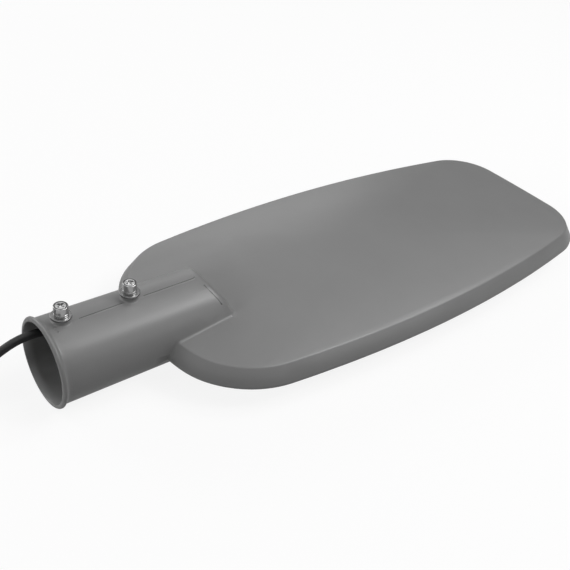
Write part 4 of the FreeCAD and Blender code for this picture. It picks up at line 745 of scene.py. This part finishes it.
class STREETLIGHT_OT_clamp_screws(bpy.types.Operator):
    """The two screws that clamp the pole, with their split and flat washers"""

    bl_idname = "streetlight.clamp_screws"
    bl_label = "Clamp screws"

    SIDES = 64
    SHANK_SIDES = 32
    SHANK = 3.0 * MM
    # Each turn of the thread rises, peaks and ends at these shares of the pitch.
    THREAD_TURN = (0.1, 0.5, 0.9)
    FOOT_CHAMFER = 0.25 * MM
    FOOT_ROUND = 0.1 * MM
    # The head's groove has soft edges, and its rim stays a little under the dome.
    GROOVE_ROUND = 0.12 * MM
    GROOVE_DEEP = 1.0 * MM
    RIM_BELOW = 0.1 * MM
    # The dome inside the groove: the share of its radius, and how far under the top, in millimetres.
    DOME = ((1.0, 0.16), (0.75, 0.09), (0.5, 0.04), (0.25, 0.01), (0.0, 0.0))
    # The ring of painted shade in the groove lies between these depths.
    GROOVE_SHADE_DEPTHS = (0.3 * MM, 1.1 * MM)
    CROSS_OVER = 0.5 * MM

    WASHER_HOLE = 3.15 * MM
    SPRING_THICK = 2.4 * MM
    # Half of the split washer's gap, the part of it in which faces go, and the way that the slanted cut
    # faces.
    SPLIT_HALF = 0.45 * MM
    SPLIT_WITHIN = 0.98 * SPLIT_HALF
    SPLIT_FACES = Vector((0.35, 1.0, 0.5)).normalized()

    def execute(self, context):
        size = sizes()
        steel = finish_of("plated_steel")
        screws = islands("pole_clamp_screws")
        spring_box = islands("spring_washers")[0]
        flat_box = islands("flat_washers")[0]
        low, high = screws[0]
        head = (high.x - low.x) / 2
        seat = flat_box[0].z - size.seat_drop
        step = seat + size.washer_thick
        foot = step + self.SPRING_THICK
        places = middles(screws)

        screw = self.screw(low.z, foot, high.z, head)
        made = at_places("clamp_screws", places, screw, steel, turn=0.6, seed=4)
        finished(made, "pole_clamp_screws", slot="plated_steel")

        outer = head - size.head_rim
        inner = outer - size.head_groove
        shallow, deep = (high.z - depth for depth in self.GROOVE_SHADE_DEPTHS)
        outline = [(inner, deep), (outer, deep), (outer, shallow), (inner, shallow)]
        ring = as_object("groove_ring", lathe(outline, self.SIDES))
        # A near-black ring of painted shade fills the groove round each screw's top.
        painted_groove_shade = moulded("dark_steel_in_the_groove", srgb("1b1b1b"), 0.4, 0.5, 0.5, 0.004)
        finished(at_places("screw_grooves", places, ring, painted_groove_shade), slot="plated_steel")

        spring = self.washer("spring_washer", spring_box, step, foot, split=True)
        made = at_places("split_washers", places, spring, steel, turn=2.4, seed=9)
        finished(made, "spring_washers", slot="plated_steel")

        flat = self.washer("flat_washer", flat_box, seat, step, split=False)
        # The plain washers' zinc is darkened partly as painted shade.
        made = at_places("plain_washers", places, flat, barrel_plate())
        finished(made, "flat_washers", slot="plated_steel")
        return {"FINISHED"}

    def screw(self, tip, foot, top, head):
        """A cheese head with a cross recess on a threaded shank."""
        size = sizes()
        rim = head - size.head_rim
        dome = rim - size.head_groove
        rim_top = top - self.RIM_BELOW
        groove = rim_top - self.GROOVE_DEEP
        corners = [
            (0.0, foot, 0),
            (head - self.FOOT_CHAMFER, foot, self.FOOT_ROUND),
            (head, foot + self.FOOT_CHAMFER, self.FOOT_ROUND),
            (head, rim_top, size.head_round),
            (rim, rim_top, self.GROOVE_ROUND),
            (rim, groove, 0),
            (dome, groove, 0),
        ]
        for share, under in self.DOME:
            corners.append((dome * share, top - under * MM, self.GROOVE_ROUND if share == 1 else 0))
        piece = as_object("clamp_screw_head", lathe(soft_outline(corners), self.SIDES))
        cross = cross_tool(size.recess_width, size.recess_reach, size.recess_depth, self.CROSS_OVER)
        tool = as_object("clamp_screw_cross", cross)
        tool.data.transform(Matrix.Translation((0, 0, top)))
        head_piece = with_recess(piece, tool)
        pitch = size.thread_pitch
        root = self.SHANK - size.thread_depth
        thread = [(0.0, foot)]
        for i in range(int((foot - tip) / pitch)):
            for radius, share in zip((root, self.SHANK, root), self.THREAD_TURN):
                thread.append((radius, foot - (i + share) * pitch))
        thread += [(root - size.thread_depth, tip), (0.0, tip)]
        shank_piece = as_object("clamp_screw_shank", lathe(thread, self.SHANK_SIDES))
        joined = bmesh.new()
        for part in (head_piece, shank_piece):
            joined.from_mesh(part.data)
            bpy.data.objects.remove(part)
        pattern = as_object("clamp_screw_pattern", joined)
        shade(pattern)
        return pattern

    def washer(self, name, box, bottom, top, split):
        """A ring as wide as the box, from the bottom to the top, cut across at a slant if it is split."""
        low, high = box
        outer, inner = (high.x - low.x) / 2, self.WASHER_HOLE
        r = sizes().washer_round
        corners = [(inner, bottom, r / 2), (outer, bottom, r), (outer, top, r), (inner, top, r / 2)]
        mesh = lathe(soft_outline(corners), self.SIDES)
        if split:
            self.split(mesh, Vector((0, 0, (bottom + top) / 2)))
        pattern = as_object(name, mesh)
        shade(pattern)
        return pattern

    def split(self, mesh, middle):
        """Takes a slanted slice out of the ring on its +X side and closes the two ends."""
        for way in (-self.SPLIT_FACES, self.SPLIT_FACES):
            everything = mesh.verts[:] + mesh.edges[:] + mesh.faces[:]
            place = middle + way * self.SPLIT_HALF
            bmesh.ops.bisect_plane(mesh, geom=everything, plane_co=place, plane_no=way)
        gone = []
        for face in mesh.faces:
            where = face.calc_center_median()
            off = abs((where - middle).dot(self.SPLIT_FACES))
            if where.x > 0 and off < self.SPLIT_WITHIN:
                gone.append(face)
        bmesh.ops.delete(mesh, geom=gone, context="FACES")
        ends = [edge for edge in mesh.edges if edge.is_boundary]
        bmesh.ops.holes_fill(mesh, edges=ends, sides=0)
        bmesh.ops.recalc_face_normals(mesh, faces=mesh.faces)


class STREETLIGHT_OT_cover_screws(bpy.types.Operator):
    """The countersunk screws of the gear cover and the window frame below"""

    bl_idname = "streetlight.cover_screws"
    bl_label = "Cover screws"

    SIDES = 40
    SHANK = 1.5 * MM
    HEAD_HIGH = 1.6 * MM
    HEAD_ROUND = 0.12 * MM
    # Width, reach and depth of the cross, and how far its tool stands out of the head.
    CROSS = (0.95 * MM, 1.75 * MM, 1.5 * MM, 0.3 * MM)

    def execute(self, context):
        for node, name in (("gear_cover_screws", "cover_screws"), ("window_frame_screws", "frame_screws")):
            self.screws(node, name)
        return {"FINISHED"}

    def screws(self, node, name):
        """Countersunk screws, whose heads look down, at the places of the CAD ones."""
        boxes = islands(node)
        low, high = boxes[0]
        profile = soft_outline([
            (0.0, low.z, 0),
            ((high.x - low.x) / 2, low.z, self.HEAD_ROUND),
            (self.SHANK, low.z + self.HEAD_HIGH, 0),
            (self.SHANK, high.z, 0),
            (0.0, high.z, 0),
        ])
        piece = as_object(name + "_head", lathe(profile, self.SIDES))
        tool = as_object(name + "_cross", cross_tool(*self.CROSS))
        tool.data.transform(Matrix.Translation((0, 0, low.z)) @ Matrix.Rotation(math.pi, 4, "X"))
        pattern = with_recess(piece, tool)
        shade(pattern)
        steel = finish_of("plated_steel")
        made = at_places(name, middles(boxes), pattern, steel, turn=math.pi, seed=12)
        finished(made, node, slot="plated_steel")


class STREETLIGHT_OT_inner_parts(bpy.types.Operator):
    """The finishes of the window, the lamp, the gear and everything else whose CAD shape stays"""

    bl_idname = "streetlight.inner_parts"
    bl_label = "Window, lamp and gear"

    def execute(self, context):
        for node, piece in frame["nodes"].items():
            if not piece.hide_render:
                piece.data.materials.clear()
                piece.data.materials.append(finish_of(slot_of(node)))
        return {"FINISHED"}


class STREETLIGHT_OT_supply_cable(bpy.types.Operator):
    """The supply cable from the gland, out of the socket and down to its put-away coil, with its cores"""

    bl_idname = "streetlight.supply_cable"
    bl_label = "Supply cable"

    # The cable's way before and after the coil, in millimetres.
    LEAD = (
        (73, 13, -7), (60, 13, -6.2), (44, 14, -1), (27, 15.6, 7.8), (9, 17.3, 14), (-8, 18.8, 12.6),
        (-23, 20.3, 5.2), (-38, 21.6, -5), (-53, 22.6, -16.5), (-68, 22.9, -26.5), (-84, 22.6, -31.8),
        (-99, 22.1, -32.1),
    )
    TAIL = (
        (-148.4, 70.7, -25.9), (-149.6, 84.7, -26.9), (-151.6, 98.7, -30.7), (-152.4, 112.7, -32.1),
        (-151.6, 126.7, -32.1),
    )
    COIL_MIDDLE = (-112 * MM, 60.7 * MM)
    COIL_TURNS = 2.25
    COIL_STEPS = 14
    # The turns between which the coil narrows, rises and widens again.
    NARROWS = (0.7, 1.0)
    RISES = (1.35, 1.65)
    WIDENS = (1.6, 1.8)

    # Each core's name, side, height in the sheath in millimetres, and its colour's name and code.
    CORES = (
        ("line_core", -1, -0.9, "brown", "5a3a26"),
        ("earth_core", 0, 0.9, "green", "4f8a3c"),
        ("neutral_core", 1, -0.9, "blue", "2f5f9e"),
    )
    CORE_RADIUS = 1.1 * MM
    # Sideways, onwards and up from the cable's end to a core's bend and tip, in millimetres.
    CORE_ROOT_ASIDE = 1.9
    CORE_BEND = (3.2, 8.0, -1.0)
    CORE_TIP = (4.6, 16.0, 0.0)

    def execute(self, context):
        size = sizes()
        lead = [Vector(p) * MM for p in self.LEAD]
        tail = [Vector(p) * MM for p in self.TAIL]
        points = lead + self.coil(size) + tail
        rubber = finish_of("cable_rubber")
        cable = self.round_curve("supply_cable_whole", points, size.cable_diameter / 2, rubber)
        cores = self.cores(tail[-1], size.cable_diameter / 2)
        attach(cable, BODY)
        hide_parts("supply_cable", "supply_cable_coil", "supply_cable_tail")
        return {"FINISHED"}

    def coil(self, size):
        """Two turns beside each other, then up on top: clockwise from the side that the lead comes from."""
        low = FLOOR + size.cable_diameter / 2
        points = []
        for number in range(int(self.COIL_TURNS * self.COIL_STEPS) + 1):
            turn = number / self.COIL_STEPS
            radius = size.coil_outer
            radius += (size.coil_inner - size.coil_outer) * ease(turn, *self.NARROWS)
            radius += (size.coil_top - size.coil_inner) * ease(turn, *self.WIDENS)
            height = low + size.coil_rise * ease(turn, *self.RISES)
            angle = -math.pi / 2 - 2 * math.pi * turn
            x, y = self.COIL_MIDDLE
            points.append(Vector((x + radius * math.cos(angle), y + radius * math.sin(angle), height)))
        return points

    def round_curve(self, name, points, radius, material):
        """A round cord along the points, with closed ends."""
        data = soft_curve(name, points, 8)
        data.bevel_depth = radius
        data.bevel_resolution = 6
        data.use_fill_caps = True
        return add(name, data, material)

    def cores(self, end, sheath):
        """Three short cores that fan out of the cable's bare end and lie on the floor with their tips."""
        made = []
        for name, side, high, label, code in self.CORES:
            root = end + Vector((self.CORE_ROOT_ASIDE * side, 0, high)) * MM
            bend, tip = (end + Vector((x * side, y, z)) * MM for x, y, z in (self.CORE_BEND, self.CORE_TIP))
            tip.z += self.CORE_RADIUS - sheath
            points = [root, bend, tip]
            piece = self.round_curve(name, points, self.CORE_RADIUS, lead_sheath(label, code))
            finished(piece, slot="wire_sheath")
            made.append(piece)
        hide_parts("supply_cores")
        return made


class STREETLIGHT_OT_stage(bpy.types.Operator):
    """The pale floor, the soft lights, the white surroundings and the camera"""

    bl_idname = "streetlight.stage"
    bl_label = "Stage"

    # Soft boxes round the head: name, azimuth and elevation in degrees, side in metres, power in watts.
    LIGHTS = (
        ("key_box", -45.0, 48.0, 0.5, 10.8),
        ("second_key_box", -15.0, 48.0, 0.5, 7.6),
        ("near_key_box", -60.0, 48.0, 0.5, 2.3),
        ("near_low_box", -60.0, 18.0, 1.0, 5.0),
        ("near_top_box", -60.0, 66.0, 1.0, 5.8),
        ("end_top_box", 0.0, 66.0, 1.0, 3.6),
        ("end_low_box", 60.0, 18.0, 1.0, 3.7),
        ("far_low_box", 90.0, 18.0, 1.0, 4.1),
        ("back_low_box", 120.0, 18.0, 1.0, 11.5),
        ("mouth_low_box", 180.0, 18.0, 1.0, 13.9),
        ("mouth_top_box", 180.0, 66.0, 1.0, 3.0),
    )
    # What the boxes face, and how far away they are.
    AIM = Vector((0.27, 0.0, 0.0))
    AWAY = 2.2
    # It only fills the bore, and doesn't glare in the paint when the head is seen from its far end.
    FILL_ONLY = "mouth_low_box"

    FLOOR_MIDDLE = (0.3, 0.0, FLOOR)
    FLOOR_HALF = 4.0
    # How much of the floor glows where it is seen, and how brightly, in mirrors and for the camera.
    FLOOR_SHARE = 0.6
    FLOOR_GLOW = {"To Min": 0.65, "To Max": 1.46}
    # The room that mirrors show: walls up to the first height, and the ceiling from the second.
    ROOM = {"From Min": 0.5, "From Max": 0.62, "To Min": 0.12, "To Max": 1.0}
    ROOM_LEAST = 0.03
    WHITE = (1.0, 1.0, 1.0, 1.0)

    def execute(self, context):
        scene = context.scene
        scene.view_settings.view_transform = "Standard"
        self.floor()
        self.surroundings(scene)
        for name, azimuth, elevation, side, power in self.LIGHTS:
            data = bpy.data.lights.new(name, "AREA")
            data.shape, data.size, data.energy = "SQUARE", side, power
            lamp = bpy.data.objects.new(name, data)
            scene.collection.objects.link(lamp)
            a, e = math.radians(azimuth), math.radians(elevation)
            direction = Vector((math.cos(a) * math.cos(e), math.sin(a) * math.cos(e), math.sin(e)))
            lamp.location = self.AIM + direction * self.AWAY
            lamp.rotation_euler = direction.to_track_quat("Z", "Y").to_euler()
            lamp.visible_glossy = name != self.FILL_ONLY
        self.camera(scene)
        return {"FINISHED"}

    def light_paths(self, tree):
        """The outputs of the light path, and 1 for what the camera sees by itself or through glass."""
        path = add_node(tree, "ShaderNodeLightPath").outputs
        links = {0: path["Is Camera Ray"], 1: path["Is Transmission Ray"]}
        return path, add_node(tree, "ShaderNodeMath", links, operation="MAXIMUM").outputs[0]

    def floor(self):
        """Grey paper that takes the shadows. It glows for the eye and for mirrors, so that it looks white,
        and the glow doesn't light the part."""
        mesh = bmesh.new()
        bmesh.ops.create_grid(mesh, x_segments=8, y_segments=8, size=self.FLOOR_HALF)
        floor = as_object("pale_floor", mesh)
        floor.location = self.FLOOR_MIDDLE
        constants = {"Roughness": 0.9, "Specular_IOR_Level": 0.0}
        material = surface("grey_seamless_paper", srgb("9c9c9c"), tint=(3.0, 3.0, 0.004), **constants)
        tree = material.node_tree
        paper, out = tree.nodes["Principled BSDF"], tree.nodes["Material Output"]
        path, straight = self.light_paths(tree)
        links = {0: straight, 1: path["Is Glossy Ray"]}
        seen = add_node(tree, "ShaderNodeMath", links, operation="MAXIMUM").outputs[0]
        level = add_node(tree, "ShaderNodeMapRange", {"Value": straight}, self.FLOOR_GLOW).outputs[0]
        glow = add_node(tree, "ShaderNodeEmission", {"Strength": level}, {"Color": self.WHITE}).outputs[0]
        values = {1: self.FLOOR_SHARE}
        share = add_node(tree, "ShaderNodeMath", {0: seen}, values, operation="MULTIPLY").outputs[0]
        mixed = add_node(tree, "ShaderNodeMixShader", {0: share, 1: paper.outputs[0], 2: glow})
        tree.links.new(mixed.outputs[0], out.inputs["Surface"])
        floor.data.materials.append(material)

    def surroundings(self, scene):
        """White for the camera and through glass; a grey room with a white ceiling in mirrors."""
        world = bpy.data.worlds.new("white_studio")
        scene.world = world
        world.use_nodes = True
        tree = world.node_tree
        tree.nodes.clear()
        path, straight = self.light_paths(tree)
        way = add_node(tree, "ShaderNodeTexCoord").outputs["Generated"]
        height = add_node(tree, "ShaderNodeSeparateXYZ", {"Vector": way}).outputs["Z"]
        ceiling = add_node(tree, "ShaderNodeMapRange", {"Value": height}, self.ROOM).outputs[0]
        links = {0: ceiling, 1: path["Is Glossy Ray"]}
        mirrored = add_node(tree, "ShaderNodeMath", links, operation="MULTIPLY").outputs[0]
        links = {0: straight, 1: mirrored}
        strength = add_node(tree, "ShaderNodeMath", links, operation="MAXIMUM").outputs[0]
        values = {1: self.ROOM_LEAST}
        least = add_node(tree, "ShaderNodeMath", {0: strength}, values, operation="MAXIMUM").outputs[0]
        back = add_node(tree, "ShaderNodeBackground", {"Strength": least}, {"Color": self.WHITE})
        add_node(tree, "ShaderNodeOutputWorld", {"Surface": back.outputs[0]})

    def camera(self, scene):
        """The camera at the photograph's place."""
        view = scene.street_light_view
        data = bpy.data.cameras.new("front_camera")
        data.lens, data.sensor_width, data.sensor_fit = view.focal, 36.0, "HORIZONTAL"
        camera = bpy.data.objects.new("front_camera", data)
        scene.collection.objects.link(camera)
        turn = (
            Matrix.Rotation(view.azimuth, 3, "Z")
            @ Matrix.Rotation(math.pi / 2 - view.elevation, 3, "X")
            @ Matrix.Rotation(view.roll, 3, "Z")
        )
        place = Vector(view.target) + turn.col[2] * view.distance
        camera.matrix_world = Matrix.Translation(place) @ turn.to_4x4()
        scene.camera = camera


class STREETLIGHT_PT_sidebar(bpy.types.Panel):
    """Lists the steps and their values in the sidebar"""

    bl_idname = "STREETLIGHT_PT_sidebar"
    bl_label = "Street light"
    bl_space_type = "VIEW_3D"
    bl_region_type = "UI"
    bl_category = "Street light"

    def draw(self, context):
        for operator in OPERATORS:
            self.layout.operator(operator.bl_idname)
        for group in GROUPS:
            values = getattr(context.scene, group)
            for name in values.bl_rna.properties.keys():
                if name not in ("rna_type", "name"):
                    self.layout.prop(values, name)


GROUPS = {
    "street_light_sizes": StreetLightSizes,
    "street_light_colours": StreetLightColours,
    "street_light_view": StreetLightView,
}
OPERATORS = (
    STREETLIGHT_OT_stage,
    STREETLIGHT_OT_casting,
    STREETLIGHT_OT_clamp_screws,
    STREETLIGHT_OT_cover_screws,
    STREETLIGHT_OT_supply_cable,
    STREETLIGHT_OT_inner_parts,
)
CLASSES = (*GROUPS.values(), *OPERATORS, STREETLIGHT_PT_sidebar)


def register():
    for kind in CLASSES:
        bpy.utils.register_class(kind)
    for name, kind in GROUPS.items():
        setattr(bpy.types.Scene, name, bpy.props.PointerProperty(type=kind))


def unregister():
    for name in GROUPS:
        delattr(bpy.types.Scene, name)
    for kind in reversed(CLASSES):
        bpy.utils.unregister_class(kind)


def main():
    register()
    bpy.ops.streetlight.stage()
    bpy.ops.streetlight.casting()
    bpy.ops.streetlight.clamp_screws()
    bpy.ops.streetlight.cover_screws()
    bpy.ops.streetlight.supply_cable()
    bpy.ops.streetlight.inner_parts()


if __name__ == "__main__":
    main()
